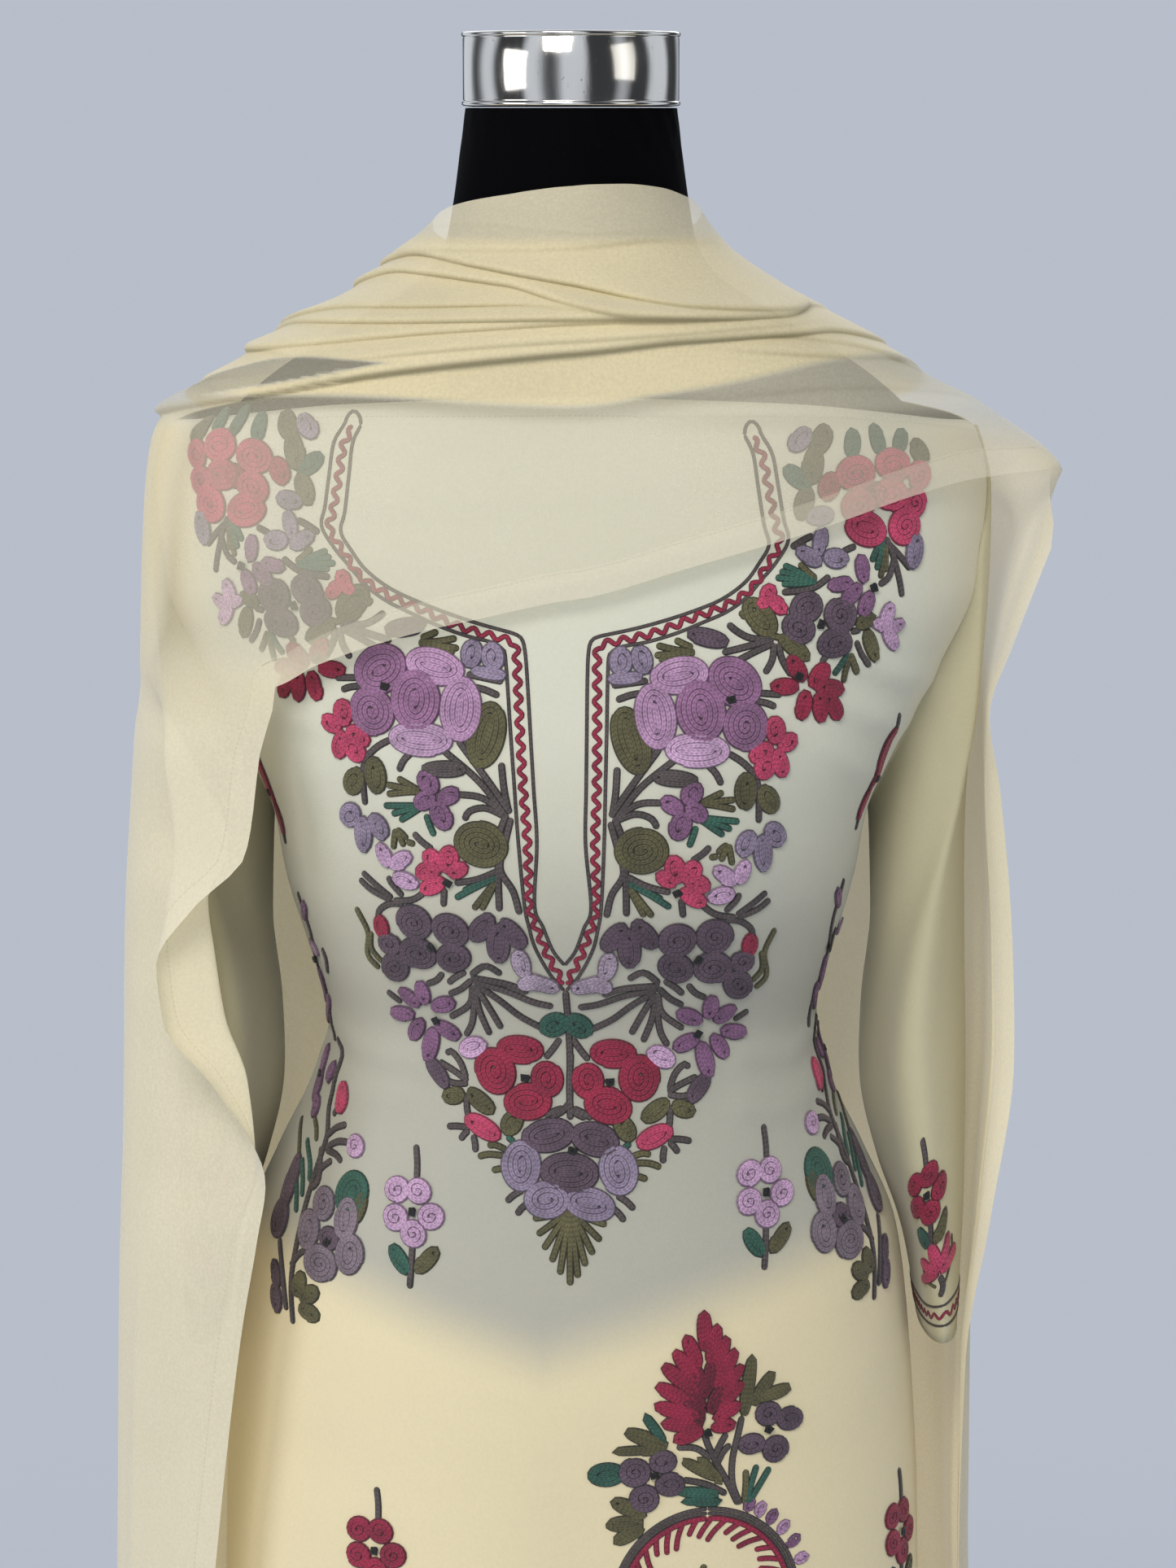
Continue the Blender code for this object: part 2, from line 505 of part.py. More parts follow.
def make_salwar():
    """The belt, and for each leg its panel, its inner gore and its ankle cuff."""
    angle = np.arange(FORM_SIDES) * 360 / FORM_SIDES
    down = np.linspace(0, 1, 5)[:, None]
    top = BELT_TOP_Z - BELT_SAG * (0.5 + 0.5 * np.cos(np.radians(angle)))[None, :]
    z = top + (BELT_BOTTOM_Z - top) * down
    belt = ring(FORM, angle[None, :], np.maximum(z, 0.83), out=2 * SEAM_GAP)
    belt[..., 2] = z
    cloth("salwar_belt", belt, PALE_CREAM, closed=True)

    angle = np.linspace(0.0, 180.0, 19)[None, :]
    z = spline(np.array([LEG["z"][0], 0.60, 0.44, 0.28, ANKLE_Z]), 11)[:, None]
    x, y = leg_section(angle, z, "outer_x")
    fullness = np.sin(np.clip((LEG["z"][0] - z) / (LEG["z"][0] - ANKLE_Z), 0, 1) * math.pi) ** 0.7
    pleat = 1 - LEG_PLEAT_DEPTH / 0.08 * fullness * (1 - np.cos(np.radians(angle) * 2 * LEG_PLEATS)) / 2
    leg = np.stack([x * pleat, y * pleat, z + 0 * x], axis=-1)
    leg[:, 0, 0] = leg[:, -1, 0] = x[:, 0] + HALF_SEAM
    cloth("salwar_leg_right", leg, PALE_CREAM)
    cloth("salwar_leg_left", mirrored(leg), PALE_CREAM)

    angle = np.linspace(0.0, 180.0, 11)[None, :]
    bow = np.sin(np.radians(angle))
    top = LEG["z"][0] - 0.004 - CROTCH_DROP * bow
    z = top + (ANKLE_Z - top) * np.linspace(0, 1, 8)[:, None]
    x, y = leg_section(angle, z, "inner_x")
    gore = np.stack([x - HALF_SEAM * (1 - bow) + HALF_SEAM * bow, y, z], axis=-1)
    cloth("salwar_gore_right", gore[:, ::-1], PALE_CREAM)
    cloth("salwar_gore_left", mirrored(gore[:, ::-1]), PALE_CREAM)

    turn = np.arange(18) / 18 * math.tau
    middle = (LEG["outer_x"][-1] + LEG["inner_x"][-1]) / 2
    half = (LEG["outer_x"][-1] - LEG["inner_x"][-1]) / 2
    z = np.linspace(ANKLE_Z - SEAM_GAP, CUFF_HEM_Z, 3)[:, None]
    depth = LEG["front"][-1]
    cuff = np.stack([middle + half * np.sin(turn) + 0 * z, -depth * np.cos(turn) + 0 * z, z + 0 * turn], axis=-1)
    cloth("salwar_cuff_right", cuff, PALE_CREAM, closed=True)
    cloth("salwar_cuff_left", mirrored(cuff), PALE_CREAM, closed=True)


def fold_relief(angle, z):
    """How far the dupatta's folds stand out at each angle and height: the sum of its soft ridges."""
    relief = 0.0
    for from_angle, from_z, to_angle, to_z, bow, width, height in zip(*YOKE_FOLDS.values()):
        along = (angle - from_angle) / (to_angle - from_angle)
        inside = np.clip(along, 0, 1)
        line = from_z + (to_z - from_z) * inside - bow * np.sin(math.pi * inside)
        fade = np.clip(1.15 - np.abs(2 * along - 1), 0, 0.3) / 0.3
        relief = relief + height * fade * np.exp(-(((z - line) / width) ** 2))
    return relief


def yoke_point(angle, z):
    """A point of the dupatta where it lies on the neck, shoulders and chest, with its folds."""
    spread, drop = CORNER_SPAN
    corner = CORNER_FLARE * np.exp(-(((angle - CORNER_ANGLE) / spread) ** 2) - ((z - CORNER_Z) / drop) ** 2)
    return ring(YOKE, angle, z, out=fold_relief(angle, z)) + corner[..., None] * (1, -0.3, 0)


def edge_of(name, angle):
    """The height of the dupatta's neck edge or front hem at an angle."""
    return through(FRONT_EDGES["angle"], FRONT_EDGES[name], angle)


def yoke_heights(angle):
    """Heights of the rows from the dupatta's neck edge to the height of its front hem."""
    top, hem = edge_of("top", angle), edge_of("hem", angle)
    return top + (hem - top) * spline(YOKE_LEVELS, YOKE_ROWS)[:, None]


def make_dupatta_front():
    """The stretch across the neck and chest, from its neck edge down to its hem."""
    gap = EDGE_GAP_DEGREES
    angle = np.linspace(LEFT_FRONT_EDGE + gap, RIGHT_FRONT_EDGE - gap, FRONT_STRETCH_COLUMNS)[None, :]
    cloth("dupatta_front", yoke_point(angle, yoke_heights(angle)), PALE_CREAM)


def fall_points(side, rows, shares, front_angle, free_z, hanging_rows, columns):
    """A hanging stretch, from its front edge round the arm to its inner back edge. Above the first height
    of free_z it lies on the shoulder, and below the second it follows the table's places in plan."""
    weights = spline_weights(len(shares), np.linspace(0, 1, columns))
    angle = side * (front_angle + (FALL_BACK_EDGE - front_angle) * (weights @ shares))[None, :]
    upper = yoke_heights(angle)
    z = np.concatenate([upper, upper[-1] + (DUPATTA_END_Z - upper[-1]) * spline(HANGING_LEVELS, hanging_rows)[1:, None]])
    x, y = ({name: column(rows, f"{name}_{axis}", z) for name in FALL_PLACES} for axis in "xy")
    plan = []
    for place in (x, y):
        controls = [
            place["hem"],
            place["turn"],
            (place["turn"] + place["tuck"]) / 2,
            place["tuck"],
            place["side"] - (0.0 if place is x else 0.026),
            place["side"] + (0.004 if place is x else 0.026),
            place["side"] * 0.3 + place["back"] * 0.7 + (0.012 if place is x else 0.0),
            (place["back"] + place["edge"]) / 2,
            place["edge"],
        ]
        plan.append(sum(weight * control for weight, control in zip(weights.T, controls)))
    hanging = pleated(np.stack([side * plan[0], plan[1], z], axis=-1), side)
    free = np.clip((free_z[0] - z) / (free_z[0] - free_z[1]), 0, 1)
    free = (free * free * (3 - 2 * free))[..., None]
    return yoke_point(angle, z) * (1 - free) + hanging * free


def pleated(grid, side):
    """Adds the vertical pleats that open towards the end of a hanging stretch, behind the arm."""
    across = np.linspace(0, 1, grid.shape[1])[None, :]
    depth = FALL_PLEAT_DEPTH * np.clip((1.20 - grid[..., 2]) / 0.55, 0, 1)
    behind = np.clip((across - 0.52) / 0.15, 0, 1)
    wave = depth * behind * np.sin((across - 0.52) / 0.48 * math.tau * FALL_PLEATS)
    return grid + np.stack([side * wave * 0.35, wave, 0 * wave], axis=-1)


def make_dupatta_falls():
    """The two ends, thrown back over the shoulders and hanging behind the arms."""
    left = fall_points(-1, LEFT_FALL, LEFT_SHARES, -LEFT_FRONT_EDGE, (1.2000, 1.1600), 13, 30)
    right = fall_points(1, RIGHT_FALL, RIGHT_SHARES, RIGHT_FRONT_EDGE, (1.2960, 1.2650), 12, 24)
    cloth("dupatta_left", left[:, ::-1], PALE_CREAM)
    cloth("dupatta_right", right, PALE_CREAM)


def main():
    """Clears the scene and makes the form and the suit on it."""
    for obj in list(bpy.data.objects):
        bpy.data.objects.remove(obj)
    make_form()
    make_kameez()
    make_salwar()
    make_dupatta_front()
    make_dupatta_falls()


main()
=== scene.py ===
"""The looks of a salwar kameez suit pinned on a limbless dress form.

Metres, +Z up. The suit faces -Y and +X is on the right of a viewer in front of it. An angle is measured
round the body from the centre front, positive towards +X. Every cloth is a grid of points worked out from
its own table of measurements, from top to bottom and from the viewer's left to right.
"""

import logging
import math
from dataclasses import dataclass, field
from enum import Enum

import bmesh
import bpy
import numpy as np
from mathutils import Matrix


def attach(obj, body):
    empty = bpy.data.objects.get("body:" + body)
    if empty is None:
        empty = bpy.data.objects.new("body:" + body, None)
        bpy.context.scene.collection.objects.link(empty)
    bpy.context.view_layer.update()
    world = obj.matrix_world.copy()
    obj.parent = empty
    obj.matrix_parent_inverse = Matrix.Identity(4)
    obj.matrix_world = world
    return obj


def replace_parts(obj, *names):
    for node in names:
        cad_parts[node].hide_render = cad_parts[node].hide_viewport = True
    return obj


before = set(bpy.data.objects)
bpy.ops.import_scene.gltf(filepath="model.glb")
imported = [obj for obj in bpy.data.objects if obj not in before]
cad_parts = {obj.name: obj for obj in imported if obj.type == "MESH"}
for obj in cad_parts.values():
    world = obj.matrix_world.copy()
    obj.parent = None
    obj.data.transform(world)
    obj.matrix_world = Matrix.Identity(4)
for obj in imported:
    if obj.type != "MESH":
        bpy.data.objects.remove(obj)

Array = np.ndarray
log = logging.getLogger("salwar_kameez")

BODY = "root"
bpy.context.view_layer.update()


def table(columns: str, *rows: tuple) -> dict[str, Array]:
    """A table of measurements.

    Args:
        columns: the columns' names, with spaces between them.
        rows: one tuple for each height, from top to bottom.

    Returns:
        Each column's values under its name.
    """
    return dict(zip(columns.split(), np.array(rows, float).T))


def through(keys: Array, values: Array, at: Array) -> Array:
    """A smooth curve through given values that never bulges past them: a monotone cubic.

    Each stretch is a cubic Hermite curve whose end slopes are the weighted harmonic means of the rises on
    either side, and nought where those differ in sign.

    Args:
        keys: where the values are given.
        values: the values there.
        at: where to read the curve.

    Returns:
        The curve's values at at.
    """
    order = np.argsort(keys)
    x, y = np.asarray(keys)[order], np.asarray(values)[order]
    step = np.diff(x)
    rise = np.diff(y) / step
    slope = np.zeros(len(x))
    same_way = rise[:-1] * rise[1:] > 0
    w1 = 2 * step[1:] + step[:-1]
    w2 = step[1:] + 2 * step[:-1]
    safe = np.where(same_way, rise[:-1], 1.0), np.where(same_way, rise[1:], 1.0)
    slope[1:-1] = np.where(same_way, (w1 + w2) / (w1 / safe[0] + w2 / safe[1]), 0.0)
    slope[0], slope[-1] = rise[0], rise[-1]
    at = np.clip(at, x[0], x[-1])
    i = np.clip(np.searchsorted(x, at) - 1, 0, len(x) - 2)
    t = (at - x[i]) / step[i]
    return (
        y[i] * (1 + 2 * t) * (1 - t) ** 2
        + slope[i] * step[i] * t * (1 - t) ** 2
        + y[i + 1] * t**2 * (3 - 2 * t)
        + slope[i + 1] * step[i] * t**2 * (t - 1)
    )


def smooth(value: Array, low: float, high: float) -> Array:
    """A soft step: nought below low, one above high, and 3t^2 - 2t^3 between them.

    Args:
        value: what is stepped.
        low: where the step starts. It may lie above high, and the step then runs the other way.
        high: where the step ends.

    Returns:
        The step's value, from 0 to 1.
    """
    t = np.clip((value - low) / (high - low), 0, 1)
    return t * t * (3 - 2 * t)


def spline_weights(count: int, at: Array) -> Array:
    """The weights of the control points of a clamped cubic B-spline, by the Cox and de Boor recurrence.

    Args:
        count: how many control points there are.
        at: places along the spline, from 0 to 1.

    Returns:
        An array of places by control points.
    """
    degree = min(3, count - 1)
    knots = np.concatenate([np.zeros(degree), np.linspace(0, 1, count - degree + 1), np.ones(degree)])
    last = np.minimum(np.searchsorted(knots, at, side="right") - 1, count - 1)
    basis = np.zeros((len(at), len(knots) - 1))
    basis[np.arange(len(at)), last] = 1.0
    for d in range(1, degree + 1):
        for i in range(len(knots) - 1 - d):
            left, right = knots[i + d] - knots[i], knots[i + d + 1] - knots[i + 1]
            grown = np.zeros(len(at))
            if left > 0:
                grown += (at - knots[i]) / left * basis[:, i]
            if right > 0:
                grown += (knots[i + d + 1] - at) / right * basis[:, i + 1]
            basis[:, i] = grown
    return basis[:, :count]


def spline(values: Array, count: int) -> Array:
    """A clamped cubic B-spline through control values.

    Args:
        values: the control values, or points as rows.
        count: how many even steps to read it at.

    Returns:
        The spline's values, or points.
    """
    values = np.asarray(values, float)
    return spline_weights(len(values), np.linspace(0, 1, count)) @ values


def refined(points: Array, factor: int, axis: int, closed: bool = False) -> Array:
    """More points on a grid, by a Catmull-Rom curve through the ones given.

    Between two points the curve is half of (2p1 + (p2-p0)t + (2p0-5p1+4p2-p3)t^2 + (3p1-p0-3p2+p3)t^3).

    Args:
        points: a grid of points.
        factor: how many steps take the place of one.
        axis: 0 to add rows and 1 to add columns.
        closed: whether the last point joins the first.

    Returns:
        The finer grid.
    """
    p = np.moveaxis(points, axis, 0)
    count = len(p)
    place = np.arange(count * factor if closed else (count - 1) * factor + 1) / factor
    i = np.minimum(place.astype(int), count - 1 if closed else count - 2)
    t = (place - i).reshape(-1, *[1] * (p.ndim - 1))
    if closed:
        p0, p1, p2, p3 = (p[(i + k) % count] for k in (-1, 0, 1, 2))
    else:
        padded = np.concatenate([2 * p[:1] - p[1:2], p, 2 * p[-1:] - p[-2:-1]])
        p0, p1, p2, p3 = (padded[i + k] for k in (0, 1, 2, 3))
    curve = 2 * p1 + (p2 - p0) * t + (2 * p0 - 5 * p1 + 4 * p2 - p3) * t**2 + (3 * p1 - p0 - 3 * p2 + p3) * t**3
    return np.moveaxis(curve / 2, 0, axis)


def lengths(points: Array, axis: int) -> Array:
    """Distances along a grid's rows or columns.

    Args:
        points: a grid of points.
        axis: 0 to measure down each column and 1 along each row.

    Returns:
        For each point its distance from the first one, along the cloth.
    """
    step = np.linalg.norm(np.diff(points, axis=axis), axis=-1)
    return np.insert(np.cumsum(step, axis=axis), 0, 0.0, axis=axis)


def outward(points: Array, closed: bool = False) -> Array:
    """The outward directions of a grid: the cross product of its steps down and across.

    Args:
        points: a grid whose rows run down and whose columns run towards +X at the front.
        closed: whether its last column joins its first.

    Returns:
        A unit direction for each point.
    """
    down = np.gradient(points, axis=0)
    if closed:
        across = np.roll(points, -1, axis=1) - np.roll(points, 1, axis=1)
    else:
        across = np.gradient(points, axis=1)
    normal = np.cross(down, across)
    return normal / np.maximum(np.linalg.norm(normal, axis=-1, keepdims=True), 1e-12)


@dataclass(frozen=True)
class Contour:
    """A body given as rings: superellipses whose half-width, depths and exponent change with height."""

    rows: dict[str, Array]

    def at(self, name: str, z: Array) -> Array:
        """The named column at the heights z."""
        return through(self.rows["z"], self.rows[name], z)

    def ring(self, angle: Array, z: Array, out: Array | float = 0.0) -> Array:
        """Points of the rings: x = half * |sin|^(2/n) and y = -depth * |cos|^(2/n), with their signs.

        Args:
            angle: degrees round from the centre front.
            z: heights.
            out: how much wider the ring is.

        Returns:
            A point for each angle and height.
        """
        turn = np.radians(angle)
        power = 2 / self.at("square", z)
        side, ahead = np.sin(turn), np.cos(turn)
        half = self.at("half", z) + out
        depth = np.where(ahead > 0, self.at("front", z), self.at("back", z)) + out
        x = half * np.sign(side) * np.abs(side) ** power
        y = -depth * np.sign(ahead) * np.abs(ahead) ** power
        return np.stack(np.broadcast_arrays(x, y, z), axis=-1)

    def angle_of(self, points: Array) -> Array:
        """The angle round the rings, in degrees, of points on or near them."""
        x, y, z = points[..., 0], points[..., 1], points[..., 2]
        power = self.at("square", z) / 2
        depth = np.where(y < 0, self.at("front", z), self.at("back", z))
        side, ahead = np.abs(x / self.at("half", z)) ** power, np.abs(y / depth) ** power
        return np.degrees(np.arctan2(np.sign(x) * side, -np.sign(y) * ahead))

    def away(self, angle: Array, z: Array) -> Array:
        """Level directions that point straight out of the rings: the slope of |x/a|^n + |y/b|^n.

        Args:
            angle: degrees round from the centre front.
            z: heights.

        Returns:
            A unit direction for each angle and height.
        """
        turn = np.radians(angle)
        power = 2 - 2 / self.at("square", z)
        side, ahead = np.sin(turn), np.cos(turn)
        half = self.at("half", z)
        depth = np.where(ahead > 0, self.at("front", z), self.at("back", z))
        x = np.sign(side) * np.abs(side) ** power / half
        y = -np.sign(ahead) * np.abs(ahead) ** power / depth
        size = np.sqrt(x * x + y * y)
        return np.stack(np.broadcast_arrays(x / size, y / size, 0 * z), axis=-1)


@dataclass(frozen=True)
class Fold:
    """A soft ridge or trough pressed into cloth along a given line."""

    line: tuple[tuple[float, float], ...]
    height: float
    above: float
    below: float
    fade: float = 0.15

    def relief(self, across: Array, z: Array) -> Array:
        """How far the cloth stands out: height * exp(-(d/w)^2), where d is the distance above or below the
        line and w is wider on one side, fading out at both ends of the line.

        Args:
            across: the places across the cloth, in the line's own units.
            z: heights.

        Returns:
            The relief at each place, in metres.
        """
        keys, values = np.array(self.line).T
        centre = through(keys, values, across)
        d = z - centre
        width = np.where(d > 0, self.above, self.below)
        span = keys.max() - keys.min()
        inside = np.minimum(across - keys.min(), keys.max() - across) / (self.fade * span)
        return self.height * np.exp(-((d / width) ** 2)) * smooth(inside, -0.6, 1.0)

    def crease_shade(self, across: Array, z: Array) -> Array:
        """How deep in the crease under the ridge a place lies, for the painted shade there: a narrow bell curve
        just below the line, by the ridge's height, fading out with the ridge.

        Args:
            across: the places across the cloth, in the line's own units.
            z: heights.

        Returns:
            0 outside the crease and up to 1 in it.
        """
        keys, values = np.array(self.line).T
        d = z - through(keys, values, across) + 0.95 * self.below
        span = keys.max() - keys.min()
        inside = np.minimum(across - keys.min(), keys.max() - across) / (self.fade * span)
        return min(self.height / 0.005, 1.0) * np.exp(-((d / 0.0012) ** 2)) * smooth(inside, -0.3, 1.0)


# ---------------------------------------------------------------------------------------------- meshes


def mesh_of(name: str, points: Array, faces: Array) -> bpy.types.Mesh:
    """A mesh of quads.

    Args:
        name: the mesh's name.
        points: its points as rows.
        faces: four point numbers for each quad.

    Returns:
        The mesh, shaded smooth.
    """
    mesh = bpy.data.meshes.new(name)
    mesh.vertices.add(len(points))
    mesh.vertices.foreach_set("co", np.ascontiguousarray(points, np.float32).ravel())
    mesh.loops.add(faces.size)
    mesh.loops.foreach_set("vertex_index", faces.astype(np.int32).ravel())
    mesh.polygons.add(len(faces))
    mesh.polygons.foreach_set("loop_start", np.arange(0, faces.size, 4, dtype=np.int32))
    mesh.update(calc_edges=True)
    mesh.validate()
    mesh.shade_smooth()
    return mesh


def grid_faces(rows: int, columns: int, closed: bool = False) -> Array:
    """The quads of a grid, which face outwards where rows run down and columns run towards +X.

    Args:
        rows: how many rows of points.
        columns: how many columns of points.
        closed: whether the last column joins the first.

    Returns:
        Four point numbers for each quad.
    """
    i, j = np.meshgrid(np.arange(rows - 1), np.arange(columns if closed else columns - 1), indexing="ij")
    k = (j + 1) % columns
    quad = [i * columns + j, (i + 1) * columns + j, (i + 1) * columns + k, i * columns + k]
    return np.stack(quad, axis=-1).reshape(-1, 4)


def put_number(mesh: bpy.types.Mesh, name: str, values: Array) -> None:
    """Gives each point of a mesh a number that its material reads."""
    mesh.attributes.new(name, "FLOAT", "POINT").data.foreach_set("value", values.astype(np.float32).ravel())


def piece_of(name: str, mesh: bpy.types.Mesh, material: bpy.types.Material) -> bpy.types.Object:
    """A piece of the object, linked, dressed and carried by the body.

    Args:
        name: the piece's name.
        mesh: its mesh, in place.
        material: its finish.

    Returns:
        The piece.
    """
    piece = bpy.data.objects.new(name, mesh)
    mesh.materials.append(material)
    bpy.context.scene.collection.objects.link(piece)
    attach(piece, BODY)
    log.info("%s: %d points, %d faces", name, len(mesh.vertices), len(mesh.polygons))
    return piece


def thicken(piece: bpy.types.Object, thickness: float, offset: float = -1.0) -> None:
    """Gives a cloth its thickness, inwards from its face, as one closed shell."""
    shell = piece.modifiers.new("thickness", "SOLIDIFY")
    shell.thickness = thickness
    shell.offset = offset


# ---------------------------------------------------------------------------------------------- finishes

Socket = bpy.types.NodeSocket


class Nodes:
    """The nodes of one material or group, added and joined a call at a time."""

    def __init__(self, tree: bpy.types.NodeTree) -> None:
        """Takes the tree that the nodes go into."""
        self.tree = tree

    def join(self, socket: Socket, value: object) -> None:
        """Links value to a socket if it is one, and otherwise sets it there."""
        if isinstance(value, bpy.types.NodeSocket):
            self.tree.links.new(value, socket)
        else:
            socket.default_value = value

    def add(self, kind: str, settings: dict | None = None, **sockets: object) -> bpy.types.Node:
        """Adds a node.

        Args:
            kind: the node's type.
            settings: its properties.
            sockets: its inputs by name, with _ for a space, as a value or another node's output.

        Returns:
            The node.
        """
        node = self.tree.nodes.new(kind)
        for key, value in (settings or {}).items():
            setattr(node, key, value)
        for key, value in sockets.items():
            self.join(node.inputs[key.replace("_", " ")], value)
        return node

    def math(self, operation: str, a: object, b: object = 0.0, c: object = 0.0) -> Socket:
        """The result of a Math node."""
        node = self.add("ShaderNodeMath", {"operation": operation})
        for socket, value in zip(node.inputs, (a, b, c)):
            self.join(socket, value)
        return node.outputs[0]

    def step(self, value: object, low: float, high: float, start: float = 0.0, end: float = 1.0) -> Socket:
        """A soft step of value from low to high."""
        node = self.add(
            "ShaderNodeMapRange", {"interpolation_type": "SMOOTHSTEP"},
            Value=value, From_Min=low, From_Max=high, To_Min=start, To_Max=end,
        )
        return node.outputs[0]

    def mix(self, share: object, a: object, b: object, blend: str = "MIX") -> Socket:
        """Two colours mixed, share of the way from a to b."""
        node = self.add("ShaderNodeMix", {"data_type": "RGBA", "blend_type": blend})
        self.join(node.inputs[0], share)
        self.join(node.inputs[6], a)
        self.join(node.inputs[7], b)
        return node.outputs[2]

    def noise(self, place: Socket, scale: float, detail: float = 2.0, roughness: float = 0.5) -> Socket:
        """Soft noise from 0 to 1, scale times a metre."""
        node = self.add(
            "ShaderNodeTexNoise", None, Vector=place, Scale=scale, Detail=detail, Roughness=roughness
        )
        return node.outputs[0]

    def place(self) -> Socket:
        """The Object coordinates."""
        return self.add("ShaderNodeTexCoord").outputs["Object"]

    def split(self, place: Socket) -> tuple[Socket, Socket, Socket]:
        """The x, y and z of a place."""
        node = self.add("ShaderNodeSeparateXYZ", None, Vector=place)
        return tuple(node.outputs)

    def stretched(self, place: Socket, x: float, y: float, z: float) -> Socket:
        """A place with its axes scaled, which draws a pattern out along the smallest."""
        return self.add("ShaderNodeMapping", None, Vector=place, Scale=(x, y, z)).outputs[0]

    def number(self, name: str) -> Socket:
        """A number that each point of the mesh carries."""
        return self.add("ShaderNodeAttribute", {"attribute_name": name}).outputs["Fac"]


def srgb(code: str) -> tuple[float, float, float, float]:
    """A colour as the shader takes it, from its six-figure screen code."""
    value = np.array([int(code[i : i + 2], 16) for i in (0, 2, 4)]) / 255
    linear = np.where(value <= 0.04045, value / 12.92, ((value + 0.055) / 1.055) ** 2.4)
    return (*linear.tolist(), 1.0)


def new_group(
    name: str, inputs: dict[str, float], outputs: dict[str, str]
) -> tuple[Nodes, dict, bpy.types.Node]:
    """A node group with named sockets.

    Args:
        name: the group's name.
        inputs: its inputs and what each is worth when nothing is joined.
        outputs: its outputs, each "NodeSocketFloat" or "NodeSocketColor".

    Returns:
        Its nodes, its inputs' sockets by name, and its output node.
    """
    tree = bpy.data.node_groups.new(name, "ShaderNodeTree")
    for key, value in inputs.items():
        socket = tree.interface.new_socket(key, in_out="INPUT", socket_type="NodeSocketFloat")
        socket.default_value = value
    for key, kind in outputs.items():
        tree.interface.new_socket(key, in_out="OUTPUT", socket_type=kind)
    nodes = Nodes(tree)
    taken = nodes.add("NodeGroupInput")
    given = nodes.add("NodeGroupOutput")
    return nodes, {socket.name: socket for socket in taken.outputs if socket.name}, given


def crepe_group() -> bpy.types.NodeTree:
    """The grain of georgette: twisted yarns half a millimetre apart both ways, pebbled by a fine noise,
    and a slow change of tone over a hand's breadth."""
    nodes, taken, given = new_group(
        "crepe_grain", {"Yarns": 1700.0}, {"Height": "NodeSocketFloat", "Tone": "NodeSocketFloat"}
    )
    place = nodes.place()
    x, y, z = nodes.split(place)
    weft = nodes.math("SINE", nodes.math("MULTIPLY", z, nodes.math("MULTIPLY", taken["Yarns"], 6.0)))
    warp = nodes.math(
        "SINE", nodes.math("MULTIPLY", nodes.math("ADD", x, y), nodes.math("MULTIPLY", taken["Yarns"], 6.0))
    )
    pebbles = nodes.noise(nodes.stretched(place, 1.0, 1.0, 0.7), 1150.0, 2.0, 0.6)
    yarns = nodes.math("MULTIPLY", nodes.math("ADD", weft, warp), 0.10)
    nodes.join(given.inputs["Height"], nodes.math("ADD", pebbles, yarns))
    slow = nodes.noise(place, 9.0, 3.0)
    specks = nodes.noise(place, 620.0, 1.0)
    tone = nodes.math("ADD", nodes.math("MULTIPLY", slow, 0.5), nodes.math("MULTIPLY", specks, 0.5))
    nodes.join(given.inputs["Tone"], tone)
    return nodes.tree


def hem_group() -> bpy.types.NodeTree:
    """A turned hem, read from the distance to the cloth's edge: a doubled band with a raised turn and a
    line of machine stitches, dashes 2.6 mm long just inside it."""
    nodes, taken, given = new_group(
        "turned_hem", {"Width": 0.0145, "Along": 0.0, "Edge": 1.0},
        {"Band": "NodeSocketFloat", "Stitch": "NodeSocketFloat", "Height": "NodeSocketFloat"},
    )
    inner = nodes.math("SUBTRACT", taken["Width"], taken["Edge"])
    band = nodes.step(inner, -0.0003, 0.0005)
    off_line = nodes.math("ABSOLUTE", nodes.math("SUBTRACT", inner, 0.0012))
    line = nodes.step(off_line, 0.00055, 0.00025)
    dash = nodes.step(nodes.math("SINE", nodes.math("MULTIPLY", taken["Along"], 2416.0)), -0.5, -0.1)
    stitch = nodes.math("MULTIPLY", line, dash)
    nodes.join(given.inputs["Band"], band)
    nodes.join(given.inputs["Stitch"], stitch)
    nodes.join(given.inputs["Height"], nodes.math("SUBTRACT", band, nodes.math("MULTIPLY", stitch, 0.7)))
    return nodes.tree


def chain_group() -> bpy.types.NodeTree:
    """Chain stitch: links 2.4 mm long that lean in from both edges to a groove down the row's middle. Its Tone
    is the yarn's uneven dye with painted shade where the links lie low and towards the row's edges, and painted
    highlight on their tops.
    """
    nodes, taken, given = new_group(
        "chain_stitch", {"Along": 0.0, "Across": 0.0}, {"Height": "NodeSocketFloat", "Tone": "NodeSocketFloat"}
    )
    place = nodes.place()
    side = nodes.math("ABSOLUTE", taken["Across"])
    lean = nodes.math(
        "SUBTRACT", nodes.math("MULTIPLY", taken["Along"], 2618.0), nodes.math("MULTIPLY", side, 3.4)
    )
    link = nodes.math("MULTIPLY_ADD", nodes.math("SINE", lean), 0.5, 0.5)
    groove = nodes.step(side, 0.0, 0.36)
    fibres = nodes.noise(place, 2600.0, 2.0, 0.6)
    height = nodes.math("ADD", nodes.math("MULTIPLY", link, 0.55), nodes.math("MULTIPLY", groove, 0.55))
    height = nodes.math("ADD", height, nodes.math("MULTIPLY", fibres, 0.35))
    nodes.join(given.inputs["Height"], height)
    dyed = nodes.step(nodes.noise(place, 95.0, 3.0, 0.6), 0.32, 0.68, 0.8, 1.16)
    # Painted shade and highlight: darker where the links lie low and towards the row's edges, lighter on their
    # tops, times the uneven dye.
    tone = nodes.math("MULTIPLY", nodes.step(height, 0.30, 1.20, 0.74, 1.20), dyed)
    nodes.join(given.inputs["Tone"], nodes.math("MULTIPLY", tone, nodes.step(side, 0.32, 0.70, 1.06, 0.36)))
    return nodes.tree


